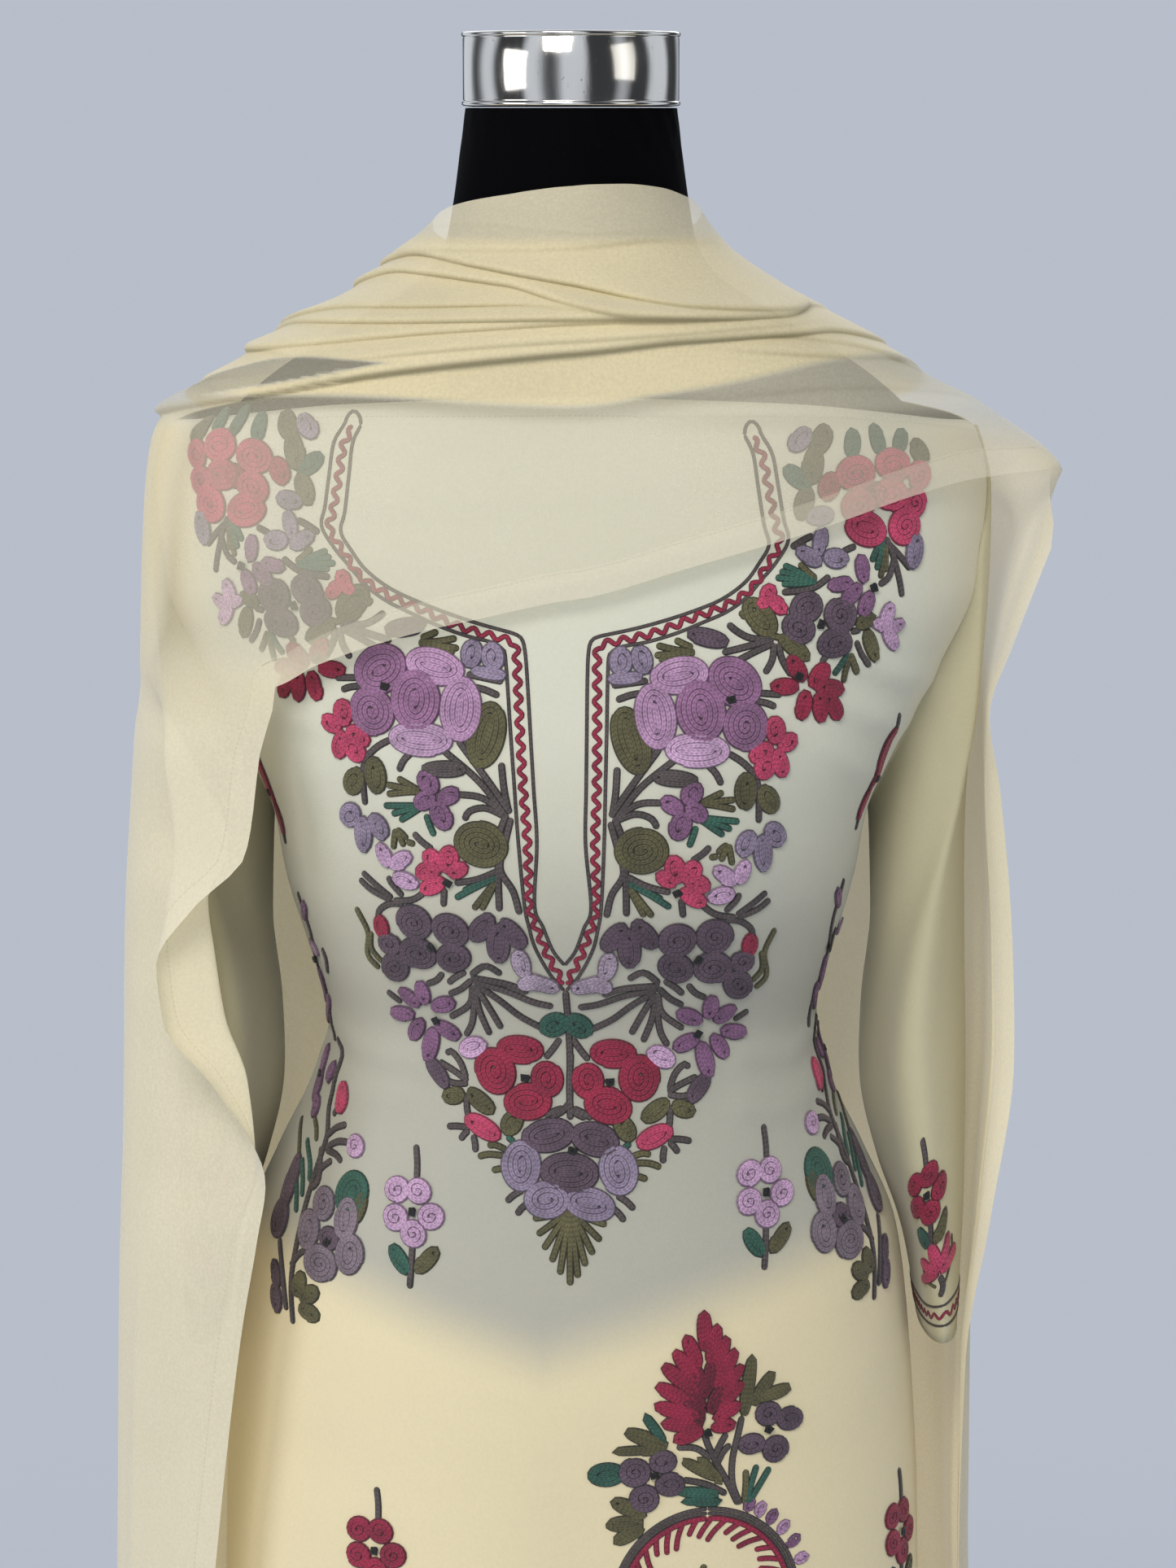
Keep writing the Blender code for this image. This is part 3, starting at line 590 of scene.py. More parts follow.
class Groups:
    """The node groups that several finishes share, each built once."""

    made: dict[str, bpy.types.NodeTree] = {}

    @classmethod
    def use(cls, nodes: Nodes, name: str, **sockets: object) -> bpy.types.Node:
        """Places a group.

        Args:
            nodes: where it goes.
            name: which group: crepe, hem or chain.
            sockets: its inputs.

        Returns:
            The group's node.
        """
        if name not in cls.made:
            cls.made[name] = {"crepe": crepe_group, "hem": hem_group, "chain": chain_group}[name]()
        node = nodes.add("ShaderNodeGroup", {"node_tree": cls.made[name]})
        for key, value in sockets.items():
            nodes.join(node.inputs[key], value)
        return node


def new_material(name: str) -> tuple[bpy.types.Material, Nodes, bpy.types.Node]:
    """A material with one Principled shader.

    Args:
        name: the material's name.

    Returns:
        The material, its nodes and its shader.
    """
    material = bpy.data.materials.new(name)
    material.use_nodes = True
    return material, Nodes(material.node_tree), material.node_tree.nodes["Principled BSDF"]


def bump(nodes: Nodes, height: Socket, distance: float, strength: float = 1.0) -> Socket:
    """A Bump node's normal, for a height in units of distance metres."""
    return nodes.add("ShaderNodeBump", None, Height=height, Distance=distance, Strength=strength).outputs[0]


@dataclass(frozen=True)
class Georgette:
    """Opaque or sheer georgette: a matte crepe that looks yellower where it lies over other cloth, and greyer
    where it lies over the black form. Lower down over the form its colour is darkened as painted shade; the
    sheer one has painted shade in the creases between its folds, and a painted glow of light through the cloth
    on its back faces."""

    name: str
    over_form: str
    over_cloth: str
    # The colour lower down over the form: painted shade, darker where less light falls.
    shaded_low_on_form: str = "AFAC9C"
    hanging: str = "DAD1B6"
    # A painted glow on the back faces, for light that shines through the cloth.
    painted_through_light: str = "D6C99A"
    painted_through_light_strength: float = 0.24
    # How strongly the creases are darkened by painted shade.
    crease_shade_depth: float = 0.62
    belt_height: float = 0.873
    belt_middle: float = -0.014
    belt_slope: float = 0.34
    roughness: float = 0.78

    def opaque(self, under: str) -> bpy.types.Material:
        """The kameez and salwar: one solid layer with what lies under it showing through as a tint.

        Args:
            under: "belt" if the cloth over the salwar's belt line is yellower below it, and "cloth" if
                it is yellow all over.

        Returns:
            The material.
        """
        material, nodes, shader = new_material(self.name)
        grain = Groups.use(nodes, "crepe")
        place = nodes.place()
        x, _, z = nodes.split(place)
        blotch = nodes.noise(nodes.stretched(place, 1.0, 1.0, 0.8), 11.0, 3.0)
        if under == "belt":
            off_middle = nodes.math("ABSOLUTE", nodes.math("SUBTRACT", x, self.belt_middle))
            line = nodes.math("ADD", nodes.math("MULTIPLY", off_middle, self.belt_slope), self.belt_height)
            depth = nodes.math("SUBTRACT", line, nodes.math("ADD", z, nodes.math("MULTIPLY", blotch, 0.016)))
            share = nodes.step(depth, -0.02, 0.026)
            side = nodes.step(nodes.math("ABSOLUTE", x), 0.16, 0.20, 0.0, 0.5)
            share = nodes.math("MAXIMUM", share, side)
            share = nodes.math("ADD", share, nodes.math("MULTIPLY", nodes.math("SUBTRACT", blotch, 0.5), 0.35))
        else:
            share = nodes.math("ADD", nodes.math("MULTIPLY", blotch, 0.3), 0.75)
        # Painted shade: over the form the colour darkens from 1.19 m down to 1.03 m, below the bust where less
        # light falls.
        painted_shade_low = nodes.mix(nodes.step(z, 1.19, 1.03), srgb(self.over_form), srgb(self.shaded_low_on_form))
        colour = nodes.mix(
            nodes.math("MINIMUM", nodes.math("MAXIMUM", share, 0.0), 1.0), painted_shade_low, srgb(self.over_cloth)
        )
        shade = nodes.step(grain.outputs["Tone"], 0.3, 0.7, 0.955, 1.0)
        grey = nodes.add("ShaderNodeCombineColor", None, Red=shade, Green=shade, Blue=shade).outputs[0]
        hem = Groups.use(nodes, "hem", Edge=nodes.number("edge"), Along=nodes.number("along"))
        colour = nodes.mix(1.0, colour, grey, "MULTIPLY")
        colour = nodes.mix(nodes.math("MULTIPLY", hem.outputs["Stitch"], 0.35), colour, srgb("A39B78"))
        nodes.join(shader.inputs["Base Color"], colour)
        shader.inputs["Roughness"].default_value = self.roughness
        shader.inputs["Sheen Weight"].default_value = 0.25
        shader.inputs["Sheen Roughness"].default_value = 0.5
        puckers = nodes.noise(nodes.stretched(place, 0.45, 0.45, 1.0), 70.0, 3.0, 0.45)
        height = nodes.math("ADD", grain.outputs["Height"], nodes.math("MULTIPLY", hem.outputs["Height"], 1.5))
        height = nodes.math("ADD", height, nodes.math("MULTIPLY", puckers, 3.5))
        nodes.join(shader.inputs["Normal"], bump(nodes, height, 0.00016, 0.55))
        return material

    def sheer(self, one_layer: float) -> bpy.types.Material:
        """The dupatta: see-through, and closer and yellower where it lies in several layers.

        Args:
            one_layer: how much a single layer hides.

        Returns:
            The material. It reads each point's number of layers, its distance from the edge, and its depth in a
            crease, where it paints shade.
        """
        material, nodes, shader = new_material(self.name)
        grain = Groups.use(nodes, "crepe")
        hem = Groups.use(nodes, "hem", Edge=nodes.number("edge"), Along=nodes.number("along"))
        layers = nodes.math("ADD", nodes.number("layers"), nodes.math("MULTIPLY", hem.outputs["Band"], 0.35))
        open_share = nodes.math("POWER", 1 - one_layer, layers)
        weave = nodes.step(grain.outputs["Tone"], 0.3, 0.7, 0.94, 1.04)
        hides = nodes.math("MULTIPLY", nodes.math("SUBTRACT", 1.0, open_share), weave)
        hides = nodes.math(
            "MINIMUM", nodes.math("ADD", hides, nodes.math("MULTIPLY", hem.outputs["Stitch"], 0.15)), 1.0
        )
        nodes.join(shader.inputs["Alpha"], hides)
        yellow = nodes.step(layers, 0.8, 2.6)
        colour = nodes.mix(yellow, srgb(self.over_form), srgb(self.over_cloth))
        _, _, z = nodes.split(nodes.place())
        colour = nodes.mix(nodes.step(z, 1.27, 1.16, 0.0, 0.85), colour, srgb(self.hanging))
        colour = nodes.mix(nodes.math("MULTIPLY", hem.outputs["Stitch"], 0.4), colour, srgb("A8A07A"))
        shade = nodes.step(grain.outputs["Tone"], 0.3, 0.7, 0.96, 1.0)
        grey = nodes.add("ShaderNodeCombineColor", None, Red=shade, Green=shade, Blue=shade).outputs[0]
        # Painted shade: the colour darkens towards 8F8458 in the creases just below the folds.
        colour = nodes.mix(
            nodes.math("MULTIPLY", nodes.number("crease_shade"), self.crease_shade_depth), colour, srgb("8F8458")
        )
        # Painted light: the back faces glow a warm cream, as if lit through the cloth from behind.
        behind = nodes.add("ShaderNodeNewGeometry").outputs["Backfacing"]
        nodes.join(shader.inputs["Emission Color"], srgb(self.painted_through_light))
        nodes.join(shader.inputs["Emission Strength"], nodes.math("MULTIPLY", behind, self.painted_through_light_strength))
        nodes.join(shader.inputs["Base Color"], nodes.mix(1.0, colour, grey, "MULTIPLY"))
        shader.inputs["Roughness"].default_value = self.roughness
        shader.inputs["Sheen Weight"].default_value = 0.25
        shader.inputs["Sheen Roughness"].default_value = 0.5
        height = nodes.math("ADD", grain.outputs["Height"], nodes.math("MULTIPLY", hem.outputs["Height"], 1.5))
        nodes.join(shader.inputs["Normal"], bump(nodes, height, 0.00016, 0.5))
        return material


@dataclass(frozen=True)
class Jersey:
    """The form's black stretch cover: fine upright ribs of knit, dulled by lint."""

    colour: str = "010102"
    lint: str = "16161C"

    def material(self) -> bpy.types.Material:
        """Builds the finish: ribs 0.8 mm apart as a bump, and specks of lint as colour."""
        material, nodes, shader = new_material("form_jersey")
        place = nodes.place()
        x, y, z = nodes.split(place)
        ribs = nodes.math(
            "SINE", nodes.math("MULTIPLY", nodes.math("ADD", x, nodes.math("MULTIPLY", y, 0.6)), 7800.0)
        )
        loops = nodes.noise(place, 1500.0, 1.0)
        specks = nodes.step(nodes.noise(place, 900.0, 2.0, 0.7), 0.66, 0.74)
        slow = nodes.noise(place, 16.0, 3.0)
        colour = nodes.mix(nodes.math("MULTIPLY", slow, 0.25), srgb(self.colour), srgb("050507"))
        colour = nodes.mix(nodes.math("MULTIPLY", specks, 0.35), colour, srgb(self.lint))
        nodes.join(shader.inputs["Base Color"], colour)
        nodes.join(shader.inputs["Roughness"], nodes.step(slow, 0.2, 0.8, 0.82, 0.95))
        shader.inputs["Specular IOR Level"].default_value = 0.06
        height = nodes.math("ADD", nodes.math("MULTIPLY", ribs, 0.3), loops)
        nodes.join(shader.inputs["Normal"], bump(nodes, height, 0.0002, 0.5))
        return material


@dataclass(frozen=True)
class Chrome:
    """Bright plated steel with the faint upright smears and small pits of a used stand."""

    name: str
    roughness: float
    tint: str = "DAD6CE"

    def material(self) -> bpy.types.Material:
        """Builds the finish: smears drawn out upwards in the roughness, and pits in the colour."""
        material, nodes, shader = new_material(self.name)
        place = nodes.place()
        smears = nodes.noise(nodes.stretched(place, 60.0, 60.0, 7.0), 1.0, 4.0, 0.6)
        grains = nodes.noise(nodes.stretched(place, 1.0, 1.0, 0.2), 260.0, 3.0, 0.6)
        pits = nodes.step(nodes.noise(place, 420.0, 2.0, 0.6), 0.7, 0.76)
        colour = nodes.mix(nodes.math("MULTIPLY", smears, 0.4), srgb(self.tint), srgb("B9B4AA"))
        colour = nodes.mix(nodes.math("MULTIPLY", pits, 0.6), colour, srgb("6E6861"))
        nodes.join(shader.inputs["Base Color"], colour)
        shader.inputs["Metallic"].default_value = 1.0
        rough = nodes.step(
            nodes.math("ADD", smears, nodes.math("MULTIPLY", grains, 0.3)), 0.35, 0.9, self.roughness * 0.6,
            self.roughness * 1.8
        )
        nodes.join(shader.inputs["Roughness"], rough)
        nodes.join(shader.inputs["Normal"], bump(nodes, nodes.math("SUBTRACT", grains, pits), 0.00004, 0.5))
        return material


# ---------------------------------------------------------------------------------------------- dress form


@dataclass
class DressForm:
    """The padded torso, its neck cap, and the pole, collar and round base that carry it."""

    sides: int = 128
    cap_low: float = 1.4783
    cap_high: float = 1.516
    cap_radius: float = 0.055
    lip: float = 0.0007
    bead: float = 0.0012
    contour: Contour = field(default_factory=lambda: Contour(table(
        "z half front back square",
        (1.478, 0.0535, 0.053, 0.053, 2.0), (1.455, 0.0565, 0.057, 0.056, 2.0), (1.43, 0.06, 0.061, 0.059, 2.0),
        (1.41, 0.064, 0.066, 0.063, 2.0), (1.395, 0.074, 0.072, 0.069, 2.0), (1.378, 0.1, 0.08, 0.079, 2.1),
        (1.36, 0.13, 0.088, 0.087, 2.2), (1.342, 0.156, 0.094, 0.093, 2.3), (1.325, 0.174, 0.0985, 0.097, 2.4),
        (1.308, 0.186, 0.102, 0.1, 2.4), (1.27, 0.19, 0.11, 0.104, 2.4), (1.23, 0.182, 0.117, 0.105, 2.4),
        (1.19, 0.164, 0.125, 0.104, 2.5), (1.15, 0.145, 0.1303, 0.101, 2.6), (1.11, 0.137, 0.1235, 0.097, 2.5),
        (1.06, 0.126, 0.107, 0.09, 2.3), (1.015, 0.117, 0.095, 0.085, 2.2), (0.97, 0.131, 0.099, 0.095, 2.2),
        (0.93, 0.147, 0.105, 0.107, 2.2), (0.88, 0.162, 0.109, 0.116, 2.2), (0.83, 0.168, 0.11, 0.12, 2.2),
        (0.77, 0.165, 0.104, 0.114, 2.2), (0.73, 0.158, 0.096, 0.104, 2.2), (0.712, 0.144, 0.084, 0.09, 2.2),
        (0.705, 0.128, 0.073, 0.078, 2.2),
    )))

    def make_torso(self) -> bpy.types.Object:
        """The torso's cover: rings 4 mm apart with a smooth crown and bottom. Towards the cap the jersey is
        gathered, as ripples that fade out downwards, larger on the viewer's right.

        Returns:
            The piece.
        """
        angle = np.arange(self.sides)[None, :] * 360 / self.sides
        z = np.linspace(1.478, 0.705, 200)[:, None]
        gather = smooth(z, 1.44, 1.478) * (
            0.25 + 0.75 * np.exp(-(((angle + 180) % 360 - 180 - 40) / 28.0) ** 2)
        )
        ripple = 0.0007 * gather * (
            np.sin(np.radians(angle) * 23 + z * 160) + 0.6 * np.sin(np.radians(angle) * 41 - z * 240)
        )
        points = self.contour.ring(angle, z, out=ripple - 0.0004)
        low = points[-1] * 1.0
        inward = np.array([0.985, 0.9, 0.6, 0.25, 0.02])[:, None, None]
        under = np.concatenate(
            [
                low[None, :, :2] * inward,
                np.broadcast_to(
                    np.array([0.7042, 0.703, 0.7024, 0.7022, 0.7022])[:, None, None] + 0.003, (5, self.sides, 1)
                )
            ],
            axis=2
        )
        top = points[0]
        crown = np.concatenate(
            [
                top[None, :, :2] * np.array([0.02, 0.5, 0.96])[:, None, None],
                np.broadcast_to(np.array([1.4781, 1.4781, 1.4781])[:, None, None], (3, self.sides, 1))
            ],
            axis=2
        )
        points = np.concatenate([crown, points, under])
        faces = grid_faces(len(points), self.sides, closed=True)
        mesh = mesh_of("form_cover", points.reshape(-1, 3), faces)
        piece = piece_of("form_cover", mesh, Jersey().material())
        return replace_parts(piece, "form_torso")

    def make_cap(self) -> bpy.types.Object:
        """The chrome neck cap: a turned profile with a thin rolled lip at its upper and lower edges, a
        shallow dished top and a short skirt turned in below.

        Returns:
            The piece.
        """
        low, high, r, lip = self.cap_low, self.cap_high, self.cap_radius, self.lip
        roll = np.linspace(-0.5, 0.5, 9) * math.pi
        around, up = self.bead * np.cos(roll[::-1]), self.bead * np.sin(roll[::-1])
        upper = np.stack([r - self.bead + around, high - 0.0016 + up], axis=1)
        lower = np.stack([r - self.bead + around, low + 0.002 + up], axis=1)
        profile = np.concatenate([
            [(0.0004, high - 0.0012), (0.03, high - 0.0012), (0.047, high - 0.0009), (0.052, high - 0.0005)],
            upper, [(r - lip, high - 0.0034), (r - lip, (low + high) / 2), (r - lip, low + 0.004)],
            lower, [(r - 0.0026, low + 0.0006), (r - 0.006, low + 0.0003), (0.0004, low + 0.0003)],
        ])
        profile[:, 1] = np.clip(profile[:, 1], low, high)
        turn = np.arange(self.sides) / self.sides * math.tau
        points = np.stack([
            profile[:, :1] * np.sin(turn), -profile[:, :1] * np.cos(turn), profile[:, 1:] + 0 * turn,
        ], axis=-1)
        faces = grid_faces(len(points), self.sides, closed=True)
        mesh = mesh_of("chrome_cap", points.reshape(-1, 3), faces)
        piece = piece_of("chrome_cap", mesh, Chrome("cap_chrome", 0.10).material())
        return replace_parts(piece, "neck_cap")

    def dress_stand(self) -> None:
        """Gives the pole, its collar and the base their plated finish."""
        finish = Chrome("stand_chrome", 0.16).material()
        for name in ("pole", "pole_collar", "base"):
            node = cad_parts[name]
            node.data.materials.clear()
            node.data.materials.append(finish)
            log.info("%s: finished", name)

    def make(self) -> None:
        """Builds and dresses the form."""
        self.make_torso()
        self.make_cap()
        self.dress_stand()


# ---------------------------------------------------------------------------------------------- embroidery


class Thread(Enum):
    """The embroidery's yarns, by their colours on a screen."""

    LILAC = "AC84A4"
    PALE_LILAC = "B793B0"
    MAUVE = "8A5F80"
    GREY_LILAC = "85768A"
    PALE_GREY = "9F8D9C"
    PLUM = "55434F"
    GREY_PLUM = "75666F"
    VIOLET = "7A5272"
    CRIMSON = "8C1636"
    DARK_CRIMSON = "640E26"
    ROSE = "B5385A"
    OLIVE = "555030"
    TEAL = "2A5646"
    TAUPE = "4C4240"
    BLACK = "0A0708"


@dataclass(frozen=True)
class ChainStitch:
    """Soft matt yarn worked in rows of chain stitch."""

    roughness: float = 0.66

    def material(self) -> bpy.types.Material:
        """Builds the finish: each point's yarn colour, with painted shade between the links and at each row's
        edges and painted highlight on the links, as uneven as dyed wool.
        """
        material, nodes, shader = new_material("chain_stitch_yarn")
        chain = Groups.use(nodes, "chain", Along=nodes.number("along"), Across=nodes.number("across"))
        yarn = nodes.add("ShaderNodeAttribute", {"attribute_name": "yarn"}).outputs["Color"]
        tone = chain.outputs["Tone"]
        grey = nodes.add("ShaderNodeCombineColor", None, Red=tone, Green=tone, Blue=tone).outputs[0]
        nodes.join(shader.inputs["Base Color"], nodes.mix(1.0, yarn, grey, "MULTIPLY"))
        shader.inputs["Roughness"].default_value = self.roughness
        shader.inputs["Sheen Weight"].default_value = 0.15
        nodes.join(shader.inputs["Normal"], bump(nodes, chain.outputs["Height"], 0.00045, 0.9))
        return material


class Chart:
    """A flat map of a cloth's face: distances across from a middle line, and heights."""

    def __init__(self, points: Array, heights: Array, middle: int, closed: bool = False) -> None:
        """Takes the face.

        Args:
            points: a grid whose rows run down and whose columns run to the right of someone facing it.
            heights: each row's height, falling.
            middle: the column that distances are measured from.
            closed: whether the last column joins the first.
        """
        self.points, self.heights = points, heights
        self.normals = outward(points, closed)
        along = lengths(points, 1)
        self.across = along - along[:, middle : middle + 1]

    def at(self, across: Array, height: Array, lift: Array) -> Array:
        """Points of the face, each worked out between the four nearest points of its grid.

        Args:
            across: distances from the middle line, in metres.
            height: heights.
            lift: how far the points stand off.

        Returns:
            A point for each place.
        """
        rows, columns = self.across.shape
        keys = (self.across + 10.0 * np.arange(rows)[:, None]).ravel()
        row = np.clip(np.interp(-height, -self.heights, np.arange(rows)), 0, rows - 1.001)
        upper = row.astype(int)
        share = (row - upper)[..., None]
        found = []
        for level in (upper, upper + 1):
            place = np.interp(across + 10.0 * level, keys, np.arange(rows * columns)) - level * columns
            left = np.clip(place, 0, columns - 1.001).astype(int)
            part = (np.clip(place, 0, columns - 1.001) - left)[..., None]
            spot = level * columns + left
            for values in (self.points.reshape(-1, 3), self.normals.reshape(-1, 3)):
                found.append(values[spot] * (1 - part) + values[spot + 1] * part)
        point = found[0] * (1 - share) + found[2] * share
        normal = found[1] * (1 - share) + found[3] * share
        return point + normal * lift[..., None]


@dataclass(frozen=True)
class Row:
    """One row of chain stitches on the flat cloth, in millimetres."""

    line: Array
    thread: Thread
    width: float = 3.3
    lift: float = 0.0
    step: float = 2.1

    def moved(self, across: float, up: float, flip: bool = False, scale: float = 1.0) -> "Row":
        """The row at another place, mirrored first if flip is true."""
        return Row(
            self.line * (-scale if flip else scale, scale) + (across, up), self.thread, self.width, self.lift,
            self.step
        )

    def strip(self) -> tuple[Array, Array, Array, Array]:
        """The row as a domed strip with round ends: half its width is w/2 * sqrt(1 - (1 - d/(w/2))^2) at a
        distance d from an end.

        Returns:
            Its places on the cloth, their lifts, and their numbers along and across.
        """
        run = np.insert(np.cumsum(np.hypot(*np.diff(self.line, axis=0).T)), 0, 0)
        half = min(self.width / 2, run[-1] / 2.2)
        count = max(int((run[-1] - 1.4 * half) / self.step), 1) + 1
        at = np.concatenate(
            [
                (0, 0.22 * half), np.linspace(0.7 * half, run[-1] - 0.7 * half, count),
                (run[-1] - 0.22 * half, run[-1])
            ]
        )
        line = np.stack([np.interp(at, run, self.line[:, axis]) for axis in (0, 1)], axis=1)
        way = np.gradient(line, axis=0)
        way /= np.maximum(np.linalg.norm(way, axis=1, keepdims=True), 1e-6)
        aside = np.stack([-way[:, 1], way[:, 0]], axis=1)
        near_end = np.clip(1 - np.minimum(at, run[-1] - at) / half, 0, 1)
        full = np.maximum(np.sqrt(1 - near_end**2), 0.06)[:, None]
        across = np.array([[-1, -0.62, 0, 0.62, 1]])
        places = line[:, None] + aside[:, None] * (across * full * half)[..., None]
        lifts = (self.lift + 0.62 * half * full * np.array([[0, 0.8, 1, 0.8, 0]]) - 0.12) / 1000
        return places, lifts, np.broadcast_to(
            at[:, None] / 1000, lifts.shape
        ), np.broadcast_to(across, lifts.shape)


def stem(points: tuple, thread: Thread, width: float = 3.9, lift: float = 0.0) -> Row:
    """A row through given places, as a Catmull-Rom curve."""
    return Row(refined(np.array(points, float), 6, 0), thread, width, lift)


def wavy(row: Row, reach: float = 1.5, wave: float = 7.8) -> Row:
    """A row that swings from side to side of its line as a sine of the distance along it."""
    run = np.insert(np.cumsum(np.hypot(*np.diff(row.line, axis=0).T)), 0, 0)
    at = np.arange(0, run[-1], 0.6)
    line = np.stack([np.interp(at, run, row.line[:, axis]) for axis in (0, 1)], axis=1)
    way = np.gradient(line, axis=0)
    way /= np.linalg.norm(way, axis=1, keepdims=True)
    swing = reach * np.sin(at / wave * math.tau)[:, None]
    return Row(line + np.stack([-way[:, 1], way[:, 0]], axis=1) * swing, row.thread, row.width, row.lift, 1.0)


def petal(
    across: float, up: float, long: float, short: float, turn: float, thread: Thread, width: float = 3.7,
    lift: float = 0.3
) -> Row:
    """A filled petal, leaf or bud: one row wound inwards from its outline, each round 2.5 mm inside the last.

    Args:
        across: the middle's place across the cloth.
        up: the middle's place up it.
        long: half its length.
        short: half its breadth.
        turn: its slant, in degrees anticlockwise.
        thread: its yarn.
        width: the row's width.
        lift: how far it stands off the cloth.

    Returns:
        The row.
    """
    long, short = max(long, short) + 0.9, min(long, short) + 0.9
    rounds = 1.45 + max((short - width / 2 - 0.3) / 2.5, 0.2)
    place = np.linspace(0, rounds, int(28 * rounds) + 1)
    inset = width / 2 + 2.5 * np.maximum(place - 0.75, 0)
    x = np.maximum(long - inset, long - short + 0.3) * np.cos(place * math.tau + across)
    y = np.maximum(short - inset, 0.1) * np.sin(place * math.tau + across)
    slant = math.radians(turn)
    line = np.stack(
        [across + x * math.cos(slant) - y * math.sin(slant), up + x * math.sin(slant) + y * math.cos(slant)],
        axis=1
    )
    return Row(line, thread, width, lift)


@dataclass
class Motif:
    """A group of embroidered forms, in millimetres from its own middle."""

    ovals: dict[Thread, tuple]
    stems: dict[Thread, tuple]
    knots: tuple = ()

    def rows(self) -> list[Row]:
        """Its rows: stems lowest, then leaves, then flowers, each a little above the last, then knots."""
        leaves = (Thread.OLIVE, Thread.TEAL)
        rows = [stem(line, thread) for thread, lines in self.stems.items() for line in lines]
        for thread, ovals in self.ovals.items():
            level = 0.25 if thread in leaves else 0.55
            rows += [petal(*oval, thread, lift=level + 0.06 * (i % 3)) for i, oval in enumerate(ovals)]
        return rows + [petal(u, v, 2.2, 1.8, 0, Thread.BLACK, 2.4, 1.7) for u, v in self.knots]


@dataclass
class Needlework:
    """Rows of chain stitch on one cloth."""

    name: str
    chart: Chart
    finish: bpy.types.Material
    rows: list[Row] = field(default_factory=list)

    def add(
        self, rows: list[Row], across: float = 0.0, up: float = 0.0, flip: bool = False, scale: float = 1.0
    ) -> None:
        """Sets rows down at a place, in millimetres."""
        self.rows += [row.moved(across, up, flip, scale) for row in rows]

    def make(self) -> bpy.types.Object:
        """Works the rows on the cloth as one piece, each row's yarn a little lighter or darker than the next.

        Returns:
            The piece.
        """
        places, lifts, along, across, yarns, faces, count = [], [], [], [], [], [], 0
        for number, row in enumerate(self.rows):
            place, lift, run, side = row.strip()
            shade = 0.88 + 0.24 * ((number * 0.618) % 1.0)
            places.append(place.reshape(-1, 2))
            lifts.append(lift.ravel())
            along.append(run.ravel())
            across.append(side.ravel())
            yarns.append(np.tile(np.array(srgb(row.thread.value)) * (shade, shade, shade, 1), (lift.size, 1)))
            faces.append(grid_faces(*lift.shape) + count)
            count += lift.size
        flat = np.concatenate(places) / 1000
        mesh = mesh_of(
            self.name, self.chart.at(flat[:, 0], flat[:, 1], np.concatenate(lifts)), np.concatenate(faces)
        )
        put_number(mesh, "along", np.concatenate(along))
        put_number(mesh, "across", np.concatenate(across))
        colours = mesh.attributes.new("yarn", "FLOAT_COLOR", "POINT").data
        colours.foreach_set("color", np.concatenate(yarns).astype(np.float32).ravel())
        return piece_of(self.name, mesh, self.finish)


